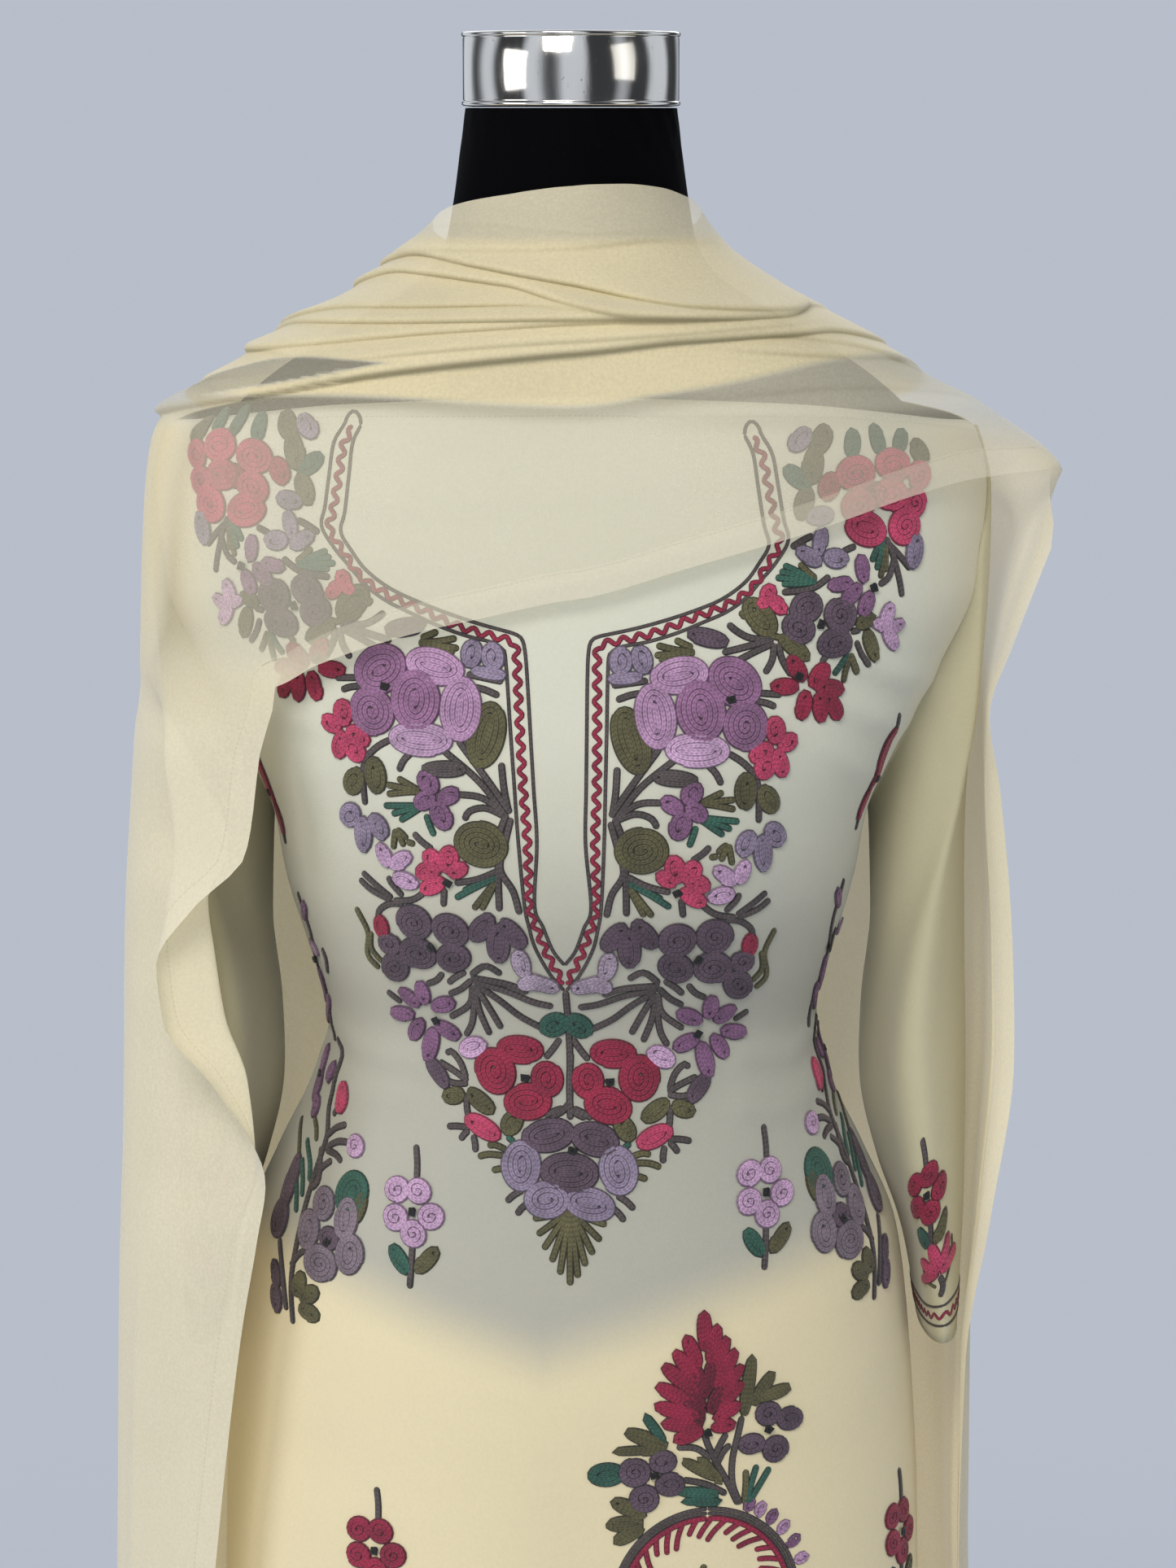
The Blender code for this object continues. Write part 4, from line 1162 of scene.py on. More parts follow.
@dataclass
class Patterns:
    """The flowers, leaves and borders worked on the kameez, placed one by one."""

    neck: Motif = field(default_factory=lambda: Motif({
        Thread.LILAC: (
            (59, 150, 14.1, 8.7, 10), (47, 130, 15.7, 9.8, -85),
        ),
        Thread.PALE_LILAC: (
            (67, 114, 15.7, 8.1, 0), (166, 178, 7, 3.7, 70), (171, 173, 6.7, 3.4, 20),
            (170, 167, 7.3, 3.4, -50), (162, 174, 4.5, 2.8, -30), (89, 54, 6.5, 3.7, 70), (80, 52, 7, 3.9, -35),
            (78, 42, 7, 4.2, 10), (47, -45, 7.6, 5, -30),
        ),
        Thread.MAUVE: (
            (86, 147, 13.8, 11, -35), (91, 126, 11.8, 11, 80), (69, 133, 14.9, 11.8, -85),
        ),
        Thread.GREY_LILAC: (
            (121, 262, 7, 4.4, 40), (130, 226, 7, 4.2, 10), (31, 156, 6.7, 5.3, 80), (41, 157, 7, 4.8, -80),
            (33, 148, 8.7, 2.8, 8), (130, 214, 7.3, 3.4, 80), (124, 207, 7.3, 3.7, -30),
            (138, 206, 6.5, 4.5, -10), (182, 209, 8.7, 4.8, 78), (91, 68, 7, 4.8, 60), (107, 72, 7, 5.3, -50),
            (100, 63, 9.3, 4.8, -88),
        ),
        Thread.PLUM: (
            (73, 168, 10.4, 3.9, -12), (122, 183, 8.4, 7, 20), (140, 179, 8.4, 8.4, 0), (118, 173, 8.1, 7, -30),
            (137, 166, 9, 7, 10), (56, 18, 9.4, 8.5, 20), (75, 20, 9.4, 9.1, 0), (88, -7, 8.5, 7.3, -40),
            (90, 6, 6.4, 5.9, 0), (55, 3, 8.8, 7.6, -20), (74, 3, 10, 8.5, 0), (25, 19, 9.1, 4.7, 50),
            (40, 21, 8.8, 5, -55), (32, 13, 10.8, 5.3, -88), (66, -61, 8.8, 3.8, 50),
        ),
        Thread.OLIVE: (
            (99, 178, 10.5, 6.5, -50), (116, 164, 9.8, 3.7, -38), (154, 176, 5.9, 3.4, 20),
            (158, 164, 8.4, 3.7, -68), (35, 118, 16.6, 8.7, -75), (91, 94, 9.3, 5.3, 85),
            (103, 90, 7.6, 5.3, -60), (39, 64, 12.9, 11.2, 10), (44, -72, 8.5, 4.1, 35),
            (58, -71, 6.2, 4.1, -15), (28, -81, 7, 4.7, -60), (127, 250, 9, 5, 80), (132, 262, 8, 4.6, 55),
            (186, 256, 7, 4.6, -50), (122, 232, 8, 4.4, 70),
        ),
        Thread.ROSE: (
            (103, 189, 5.1, 3.7, 60), (108, 184, 5.6, 3.4, -40), (101, 185, 3.7, 2.8, 20),
            (154, 220, 11.2, 7.9, -20), (176, 221, 9.3, 8.7, 30), (150, 231, 8.7, 7.6, 20),
            (168, 236, 9.3, 7.6, 0), (182, 232, 7, 7, 0), (149, 246, 10, 8.2, 10), (170, 250, 10, 7.5, -10),
            (185, 245, 7, 6.5, 40), (106, 124, 6.5, 5.1, -90), (113, 118, 5.6, 4.2, 20),
            (99, 113, 6.5, 4.8, 30), (109, 108, 7.3, 4.2, -75), (101, 106, 6.2, 5.1, 60), (55, 55, 7, 5.1, -80),
            (63, 54, 6.5, 4.5, 50), (51, 50, 5.6, 3.7, -30), (66, 48, 6.5, 4.5, -20), (64, 41, 7.3, 4.2, -30),
            (43, -85, 9.7, 5, 25),
        ),
        Thread.VIOLET: (
            (152, 201, 7, 3.4, -80), (140, 194, 6.5, 3.4, 10), (146, 189, 6.7, 3.7, 45),
            (154, 184, 6.7, 3.7, 65), (64, 93, 6.2, 4.8, 60), (54, 87, 6.2, 3.9, -30), (66, 84, 6.2, 4.2, -40),
            (58, 77, 7.3, 5.1, 70), (73, -19, 6.7, 3.8, 80), (62, -24, 7, 4.1, -25), (81, -23, 7, 3.8, 30),
            (86, -33, 7.6, 3.8, -5), (60, -38, 7.6, 3.8, 25), (78, -40, 7.3, 3.8, -60),
            (70, -47, 9.7, 4.1, -75),
        ),
        Thread.CRIMSON: (
            (160, 236, 6.5, 5.5, 20), (135, 240, 7, 5, 60), (117, 154, 7.3, 3.9, -55), (129, 150, 7.3, 4.5, 50),
            (111, 145, 7.3, 3.7, 0), (135, 144, 7.9, 3.9, -5), (121, 136, 7.3, 3.9, 80),
            (130, 135, 7.9, 3.7, -80), (137, 135, 7.9, 3.7, -55), (94, 15, 6.4, 4.1, 80), (23, -44, 11.4, 7, 0),
            (10, -58, 8.8, 7.6, -90), (20, -70, 11.7, 8.8, -10), (36, -56, 11.4, 10, 80),
        ),
        Thread.TAUPE: (
            (56, 100, 11.2, 3.7, -5),
        ),
        Thread.PALE_GREY: (
            (21, 3, 7.6, 4.4, 75), (11, -8, 8.2, 3.8, 15), (17, -7, 6.4, 3.8, -20),
        ),
        Thread.TEAL: (
            (6, -30, 7.6, 5.9, -35), (119, 244, 8, 4, -40), (148, 260, 7, 3.8, 80), (162, 262, 7, 3.8, 100),
            (175, 261, 6, 3.8, 60),
        ),
    }, {
        Thread.TAUPE: (
            ((106, 168), (95, 168), (88, 171), (83, 175)), ((106, 168), (92, 164), (80, 161)),
            ((106, 166), (97, 162), (87, 157)), ((106, 166), (105, 158), (101, 151)),
            ((108, 166), (110, 158), (115, 150)), ((110, 190), (121, 191), (128, 193), (135, 198)),
            ((141, 209), (146, 211), (149, 212)), ((115, 211), (122, 215), (127, 217)),
            ((117, 210), (123, 213)), ((165, 216), (169, 208), (173, 196), (175, 187)),
            ((165, 214), (172, 208), (180, 200)), ((170, 206), (167, 197), (161, 193)),
            ((149, 167), (152, 160), (157, 154)), ((146, 171), (152, 172)), ((134, 161), (130, 156)),
            ((97, 142), (110, 141)), ((96, 138), (102, 137), (107, 135)), ((26, 144), (44, 147)),
            ((28, 137), (36, 140), (44, 141)), ((24, 80), (35, 96), (49, 115)), ((26, 78), (39, 95), (57, 110)),
            ((25, 80), (27, 92), (28, 105)), ((27, 80), (38, 87), (50, 88)),
            ((26, 78), (36, 82), (44, 80), (47, 75)), ((71, 108), (76, 103), (79, 97)),
            ((82, 113), (90, 108), (98, 100)), ((97, 100), (98, 90), (98, 78)),
            ((24, 78), (27, 66), (30, 52), (24, 41), (21, 29)), ((26, 80), (30, 68), (31, 50), (31, 30)),
            ((31, 51), (41, 46), (53, 43)), ((63, 59), (69, 63), (73, 67)), ((58, 40), (59, 30)),
            ((67, 38), (75, 32), (86, 30)), ((80, 33), (86, 39), (88, 43)), ((86, 31), (95, 37), (103, 43)),
            ((87, 30), (98, 34), (105, 39)), ((47, -6), (39, 0), (31, -4)), ((47, -7), (29, -9), (18, -13)),
            ((46, -9), (29, -13), (16, -18), (6, -20)), ((45, -10), (33, -18), (23, -26), (12, -32)),
            ((45, -11), (39, -21), (32, -34)), ((45, -12), (43, -25), (38, -38)),
            ((46, -11), (48, -22), (59, -31)), ((45, -17), (47, -32), (51, -40)),
            ((46, -8), (52, -14), (59, -18)), ((49, -4), (55, -8), (59, -12)), ((61, -6), (65, -11), (71, -14)),
            ((86, -27), (95, -22)), ((51, -62), (54, -54), (59, -49), (62, -51)),
            ((50, -63), (57, -59), (66, -55)), ((50, -64), (57, -65), (62, -64)),
            ((51, -69), (51, -76), (50, -82)), ((49, -86), (56, -86), (62, -87)),
            ((50, -87), (53, -90), (55, -93)), ((48, -89), (47, -94), (47, -98)),
            ((19, -119), (24, -123), (27, -127)), ((23, -114), (28, -117), (32, -121)),
            ((80, 29), (88, 28), (94, 24), (96, 19)), ((3, -37), (7, -43), (11, -48)),
            ((2, -72), (7, -74), (12, -77)), ((1, -69), (-3, -74), (-9, -77)),
        ),
        Thread.OLIVE: (
            ((100, 170), (110, 168), (121, 161)), ((72, 61), (77, 62)), ((31, -95), (37, -93), (41, -94)),
            ((31, -98), (40, -98), (46, -100)), ((32, -104), (36, -105), (39, -106)),
            ((98, -10), (105, -3), (103, 10), (109, 23)), ((96, -6), (102, 1), (101, 11)),
            ((67, 161), (57, 162), (48, 164)), ((67, 161), (57, 160), (47, 159)),
            ((67, 161), (58, 159), (49, 157)), ((66, 163), (61, 165), (57, 167)),
            ((128, 196), (123, 200), (119, 204)), ((165, 213), (164, 205), (162, 196)),
            ((165, 213), (165, 206), (165, 199)), ((145, 161), (144, 153), (143, 146)),
            ((145, 161), (148, 155), (151, 150)), ((92, 177), (91, 179), (89, 181)),
            ((68, 88), (74, 91), (80, 94)), ((68, 88), (76, 89), (86, 90)), ((68, 88), (76, 87), (86, 85)),
            ((82, 68), (79, 66), (76, 63)), ((82, 68), (80, 64), (78, 59)), ((82, 68), (83, 63), (84, 57)),
            ((32, 46), (38, 38), (44, 30)), ((32, 46), (36, 38), (40, 30)), ((41, 120), (35, 125), (29, 129)),
            ((41, 120), (35, 121), (28, 123)), ((41, 120), (34, 118), (27, 116)),
        ),
        Thread.TEAL: (
            ((27, -91), (31, -88)), ((128, 195), (120, 199), (111, 203)), ((128, 195), (118, 198), (109, 200)),
            ((128, 195), (118, 196), (107, 197)), ((128, 195), (119, 194), (110, 194)),
            ((164, 216), (160, 210), (157, 204)), ((164, 216), (162, 208), (160, 200)),
            ((144, 161), (141, 155), (137, 150)), ((67, 81), (78, 80), (88, 79)),
            ((67, 81), (76, 78), (84, 75)), ((67, 81), (74, 76), (80, 72)), ((66, 77), (64, 71), (62, 66)),
            ((31, 48), (42, 42), (53, 35)), ((31, 48), (40, 44), (49, 39)),
        ),
    }, ((84, 139), (129, 175), (158, 192), (118, 150), (56, 43), (66, 8), (66, -33), (21, -58))))
    rosette: Motif = field(default_factory=lambda: Motif({
        Thread.GREY_LILAC: (
            (-24, -102, 12.5, 9.5, 84), (24.2, -101.8, 12, 9.5, -84), (-11.6, -118, 11, 9, 12),
            (9.6, -119, 12.5, 8, -10)
        ),
        Thread.PLUM: ((-10.2, -86, 13, 8, 14), (13.2, -87, 12, 8, -12), (0.1, -104, 14.5, 9.5, 0)),
    }, {
        Thread.TAUPE: (((0.2, -11), (1.5, -42), (0.7, -76)), ((2, -44), (1, -60), (1, -78))),
        Thread.OLIVE: tuple(((0, -122), (x * 0.55, (y - 124) / 2), (x, y)) for x, y in (
            (-19, -128), (-17, -136), (-14, -143), (-10, -149), (-6, -155), (-1, -160),
            (3, -156), (7, -150), (11, -144), (15, -137), (18, -129))),
    }, ((1.7, -92.8),)))
    lower: Motif = field(default_factory=lambda: Motif({
        Thread.CRIMSON: (
            (-9, 84, 8.3, 3.5, 19), (-12, 90, 10.5, 3.5, -4), (-15, 97, 12.2, 3.5, -16),
            (-15, 105, 12.4, 3.5, -29), (-13, 113, 12.2, 3.5, -42), (-10, 120, 10.3, 3.5, -54),
            (-7, 127, 9.1, 3.4, -68), (-1, 137, 10.2, 3.5, -89), (4, 130, 10.3, 3.3, 79), (7, 124, 11, 3.3, 67),
            (10, 117, 11.4, 3.3, 60), (12, 110, 11.3, 3.3, 48), (12, 103, 10.3, 3.3, 39),
            (11, 95, 8.1, 3.3, 29), (9, 88, 6.4, 3.3, 3),
        ),
        Thread.DARK_CRIMSON: (
            (-7, 105, 9.5, 3.1, -49), (-6, 98, 7.5, 3.1, -36), (5, 102, 8.1, 3.1, 67), (-3, 112, 9.9, 3.1, -69),
            (2, 114, 8.5, 3.1, 84), (-4, 92, 3.7, 2.6, -33),
        ),
        Thread.OLIVE: (
            (22, 107, 15.9, 3.1, 81), (30, 105, 10.1, 3.1, 54), (36, 102, 9.9, 3.1, 13),
            (-30, 83, 11.7, 3.5, -22), (-33, 77, 13.9, 2.2, 0), (-3, 66, 11, 2.4, -31), (1, 67, 7, 2.2, -50),
            (5, 62, 5.4, 2.2, -54), (-39, 47, 9.6, 3.8, -27), (-41, 39, 9.5, 3.8, 0), (-39, 33, 8.2, 3.5, 27),
        ),
        Thread.PLUM: (
            (33, 92, 6.6, 6.1, 0), (45, 88, 5.7, 7.2, 0), (24, 77, 5.1, 6.8, 0), (37, 73, 6.8, 6.6, 0),
            (-36, 66, 7.7, 7.3, 0), (-22, 71, 6.8, 5.6, 0), (-18, 59, 5.8, 7.3, 0), (-31, 52, 7.3, 6.8, 0),
        ),
        Thread.TEAL: (
            (-26, 88, 9.5, 2.1, -56), (-50, 65, 9.2, 5.7, 2), (-4, 54, 11.4, 2.6, -8), (-2, 49, 10.4, 2.1, -4),
        ),
    }, {
        Thread.TAUPE: (
            ((17, 46), (12, 57), (6, 68), (1, 79), (-1, 86)), ((6, 68), (9, 74), (13, 78)),
            ((4, 70), (7, 77), (11, 84)), ((3, 71), (-5, 77), (-15, 78)),
            ((18, 46), (14, 57), (14, 70), (17, 83), (19, 92)), ((11, 52), (0, 58), (-12, 61)),
        ),
        Thread.OLIVE: (
            ((20, 46), (21, 56), (21, 64)),
        ),
        Thread.TEAL: (
            ((21, 46), (24, 57), (27, 66)), ((22, 46), (28, 55), (34, 64)),
        ),
    }, ((1, 85), (33, 84), (-26, 64))))
    vine: Motif = field(default_factory=lambda: Motif({
        Thread.GREY_PLUM: (
            (-133, 931, 7.9, 7.1, 80), (-118, 926, 10.4, 6.7, 80), (-142, 917, 9.6, 7.1, 80),
            (-133, 902, 10.4, 9.2, 0), (-115, 909, 10, 7.9, 80),
        ),
        Thread.PLUM: (
            (-128, 915, 6.3, 5.4, 0), (-162, 936, 14.6, 5, 75), (-166, 918, 10, 6.7, 75),
            (-165, 891, 7.1, 3.8, -70), (-164, 879, 7.5, 4.2, -80),
        ),
        Thread.TEAL: (
            (-116, 938, 11.7, 9.2, 60),
        ),
        Thread.OLIVE: (
            (-111, 932, 8.4, 3.8, 70), (-147, 889, 7.1, 4.2, 70), (-140, 885, 7.1, 4.2, 30),
            (-140, 876, 7.1, 4.2, -10),
        ),
        Thread.PALE_LILAC: (
            (-116, 961, 5.6, 5.2, 0), (-159, 1057, 6.3, 2.5, -35),
        ),
        Thread.ROSE: (
            (-130, 982, 7.9, 4.6, 80),
        ),
        Thread.VIOLET: (
            (-158, 995, 7.9, 3.8, 85), (-159, 983, 9.2, 4.2, 85), (-144, 992, 6.3, 2.9, 60),
            (-155, 973, 5.4, 3.8, 80),
        ),
    }, {
        Thread.TAUPE: (
            (
                (-151, 868), (-153, 889), (-150, 909), (-146, 930), (-142, 946), (-138, 962), (-141, 976),
                (-138, 993), (-137, 1003), (-145, 1009)
            ),
            ((-156, 874), (-160, 893), (-164, 909)), ((-154, 897), (-148, 904), (-143, 907)),
            ((-137, 957), (-129, 961), (-121, 962)), ((-138, 962), (-132, 967), (-124, 970)),
            ((-137, 956), (-129, 955), (-124, 952)), ((-141, 943), (-137, 948), (-131, 952)),
            ((-136, 972), (-133, 977)), ((-144, 936), (-139, 942), (-141, 957)),
            ((-147, 1044), (-145, 1053), (-148, 1059)),
        ),
        Thread.TEAL: (
            ((-150, 931), (-152, 940), (-156, 949)), ((-146, 939), (-148, 948), (-156, 958)),
            ((-153, 923), (-156, 935), (-163, 947)),
        ),
        Thread.OLIVE: (
            ((-158, 943), (-162, 953), (-172, 965)), ((-146, 958), (-149, 964), (-154, 968)),
        ),
    }, ((-129, 913), (-158, 988))))
    vine_top: Motif = field(default_factory=lambda: Motif({
        Thread.CRIMSON: ((-181, 1150, 17, 3.4, -84), (-177, 1126, 9, 3, -70)),
        Thread.VIOLET: ((-161, 1078, 7, 3, 55), (-162, 1034, 11, 3.6, 82), (-157, 1022, 9, 3.2, 70)),
    }, {
        Thread.TAUPE: (
            ((-184, 1174), (-182, 1150), (-175, 1112)), ((-166, 1088), (-160, 1066), (-163, 1040), (-148, 1006))
        ),
    }, ((-180, 1140), (-161, 1050))))
    sprig: Motif = field(default_factory=lambda: Motif({
        Thread.TEAL: ((-6.3, -24, 8.5, 3.8, -56),), Thread.OLIVE: ((8, -23, 8.5, 3.8, 48),),
        Thread.PALE_LILAC: (
            (-8.5, 10, 6.8, 6, 30), (3.2, 10.5, 6.6, 6, -20), (-9, -3.5, 6.6, 6.2, 0), (10, -1.5, 6.8, 6, 20),
            (1, -10.5, 6.4, 6.6, 0)
        ),
    }, {Thread.TAUPE: (((0.5, -12), (0, -24), (-1, -38)), ((1, 33), (2, 24), (2, 15)))}, ((0.5, 0),)))
    wreath: tuple[float, float, float, float] = (1.0, -5.0, 48.0, 50.0)
    border_inner: tuple = (
        (93.5, 264.0), (97.5, 255.0), (99.5, 240.0), (102.0, 222.0), (104.3, 212.5), (99.4, 204.0),
        (92.4, 194.9), (81.4, 186.9), (69.2, 181.5), (53.1, 175.9), (38.4, 171.6), (26.4, 168.7), (20.4, 167.2),
        (16.8, 165.0), (15.3, 159.2), (14.5, 146.1), (13.6, 119.6), (12.7, 92.8), (11.8, 65.6), (13.8, 34.0),
        (10.1, 23.3), (7.8, 16.4), (4.9, 9.3), (0.1, 2.8),
    )
    border_outer: tuple = (
        (93.5, 264.0), (94.4, 268.0), (97.4, 270.5), (100.6, 268.0), (102.0, 264.0), (107.0, 255.0),
        (109.5, 240.0), (112.0, 224.0), (114.0, 214.6), (107.6, 204.1), (100.6, 196.3), (92.2, 187.1),
        (82.6, 180.4), (70.4, 175.0), (57.0, 169.5), (43.5, 165.3), (30.9, 162.6), (26.2, 159.5), (24.7, 154.3),
        (23.2, 120.0), (22.0, 93.2), (20.8, 66.0), (18.7, 34.2), (16.7, 22.1), (14.0, 11.2), (7.4, -2.2),
        (0.4, -11.1),
    )
    border_wave: tuple = (
        (97.4, 263.0), (102.0, 254.0), (104.5, 240.0), (108.0, 222.0), (109.8, 213.2), (102.3, 201.5),
        (94.4, 191.0), (81.3, 183.0), (66.5, 177.5), (51.7, 171.3), (37.0, 167.0), (23.6, 164.0), (19.8, 160.4),
        (19.2, 146.2), (18.6, 119.8), (17.8, 93.0), (16.4, 65.8), (16.2, 34.1), (13.6, 23.5), (11.0, 15.7),
        (6.8, 4.7), (0.5, -7.2),
    )
    axis_mm: float = -3.0
    lean: float = -0.0227
    hem_reach: float = 230.0

    def on_neck(self, row: Row, flip: bool) -> Row:
        """A neck row set on the cloth, whose middle line leans a little: s = u - 3 - 0.0227(z - 1060) and
        z = 1060 + v + (0.0001v - 0.05)u."""
        u = row.line[:, 0] * (-1 if flip else 1)
        v = row.line[:, 1]
        z = 1060 + v + (0.0001 * v - 0.05) * u
        line = np.stack([u + self.axis_mm + self.lean * (z - 1060), z], axis=1)
        return Row(line, row.thread, row.width, row.lift, row.step)

    def neck_rows(self) -> list[Row]:
        """All the work round the neck: both halves, the borders of the slit, and the rosette."""
        halves = self.neck.rows()
        halves += [stem(line, Thread.TAUPE, 1.9, 0.1) for line in (self.border_inner, self.border_outer)]
        halves.append(wavy(stem(self.border_wave, Thread.CRIMSON, 2.6, 0.1)))
        return [
            self.on_neck(row, flip)
            for flip in (False, True)
            for row in halves
        ] + [self.on_neck(row, False) for row in self.rosette.rows()]

    def wreath_rows(self) -> list[Row]:
        """The round wreath under the lower flowers: two stems, a crimson band with slanting bars inside it,
        and small buds outside."""
        x, y, wide, high = self.wreath
        turn = np.linspace(0, math.tau, 97)

        def ring(inset: float) -> Array:
            """The wreath's oval, drawn in by inset."""
            return np.stack([x + (wide - inset) * np.sin(turn), y + (high - inset) * np.cos(turn)], axis=1)

        rows = [
            Row(ring(0.0), Thread.TAUPE, 2.6), Row(ring(2.4), Thread.TAUPE, 2.4),
            Row(ring(5.0), Thread.CRIMSON, 3.0, 0.1)
        ]
        start = np.arange(36) / 36 * math.tau + 0.05
        for number, angle in enumerate(start):
            reach = 10.0 + 2.5 * math.sin(number * 2.1)
            line = [
                (
                    x + (wide - r) * math.sin(angle - 0.02 * (r - 5)),
                    y + (high - r) * math.cos(angle - 0.02 * (r - 5))
                )
                for r in (5.0, 5.0 + reach / 2, 5.0 + reach)
            ]
            rows.append(stem(tuple(line), Thread.CRIMSON, 3.0, 0.15))
        for number, angle in enumerate(
            np.radians((24, 31, 39, 48, 58, 69, 80, 92, 104, 117, 130, 143, 217, 230, 243, 256, 268))
        ):
            middle = x + (wide + 5.5) * math.sin(angle), y + (high + 5.5) * math.cos(angle)
            rows.append(
                petal(
                    *middle, 4.2, 2.4, 90 - math.degrees(angle), Thread.LILAC if number % 2 else Thread.VIOLET,
                    2.4
                )
            )
        return rows

    def recoloured(self, rows: list[Row], change: dict[Thread, Thread]) -> list[Row]:
        """Rows with some of their yarns changed for others."""
        return [
            Row(row.line, change.get(row.thread, row.thread), row.width, row.lift, row.step)
            for row in rows
        ]

    def hem_rows(self) -> list[Row]:
        """The hem's border: a wavy crimson row between two plain ones."""
        ends = np.array([(-self.hem_reach, 0.0), (self.hem_reach, 0.0)])
        plain = [Row(ends + (0, up), Thread.TAUPE, 1.7, 0.1, 3.0) for up in (378.0, 389.0)]
        return plain + [wavy(Row(ends + (0, 383.5), Thread.CRIMSON, 2.0, 0.1))]

    def front(self, work: Needlework) -> None:
        """The work on the front below the neck: vines up the sides, sprigs, the lower flowers and the hem."""
        lilac, vine, top = self.sprig.rows(), self.vine.rows(), self.vine_top.rows()
        red = self.recoloured(lilac, {Thread.PALE_LILAC: Thread.CRIMSON})
        work.add(vine)
        work.add(vine, 20, 8, flip=True)
        work.add(top)
        work.add(top, -3, 8, flip=True)
        for across, up in ((-80.7, 933.4), (99.9, 941.1), (-64, 655), (96, 560)):
            work.add(lilac, across, up)
        for across, up in ((-101, 759), (190, 751), (-150, 600), (-90, 500), (0, 600), (150, 470)):
            work.add(red, across, up)
        work.add(self.lower.rows() + self.wreath_rows(), 67.9, 738.2)
        work.add(self.recoloured(lilac, {Thread.TAUPE: Thread.OLIVE}), 66, 728, scale=0.8)
        work.add(self.hem_rows())

    def back(self, work: Needlework) -> None:
        """The work on the back, which the photograph hides: sprigs in staggered rows, and the hem."""
        lilac = self.sprig.rows()
        red = self.recoloured(lilac, {Thread.PALE_LILAC: Thread.CRIMSON})
        for across, up in (
            (0, 1230), (-80, 1080), (80, 1080), (-90, 900), (90, 900), (-60, 700), (120, 700), (0, 520)
        ):
            work.add(lilac, across, up)
        for across, up in (
            (-90, 1180), (90, 1180), (0, 990), (0, 800), (-140, 790), (150, 600), (-110, 560), (90, 470)
        ):
            work.add(red, across, up)
        work.add(self.hem_rows())

    def sleeve(self, work: Needlework, flip: bool) -> None:
        """The work on a sleeve's front: a flower, a lily with its twigs, and a banded cuff."""
        side = -1 if flip else 1
        flower = self.recoloured(self.sprig.rows(), {Thread.PALE_LILAC: Thread.CRIMSON})
        lily = [
            petal(9 * math.sin(a), 9 * math.cos(a), 9, 3.0, 90 - math.degrees(a), Thread.ROSE)
            for a in np.radians((-100, -60, -15, 30, 75))
        ]
        lily += [
            stem(((0, -2), (2, -8), (0, -14)), Thread.TAUPE),
            stem(((2, -8), (12, 2), (14, 12)), Thread.OLIVE, 2.4),
            stem(((-2, -8), (-12, -2), (-15, 8)), Thread.OLIVE, 2.4)
        ]
        work.add(flower, side * -6, 932, flip, 0.92)
        work.add(lily, side * -2, 888, flip)
        ends = np.array([(-110.0, 0.0), (110.0, 0.0)])
        work.add(
            [
                Row(ends + (0, up), Thread.TAUPE, 1.7, 0.1, 2.5)
                for up in (858.0, 869.0)
            ] + [wavy(Row(ends + (0, 863.5), Thread.CRIMSON, 2.0, 0.1))]
        )


# ---------------------------------------------------------------------------------------------- kameez


class Side(Enum):
    """Which panel of the kameez."""

    FRONT = "front"
    BACK = "back"


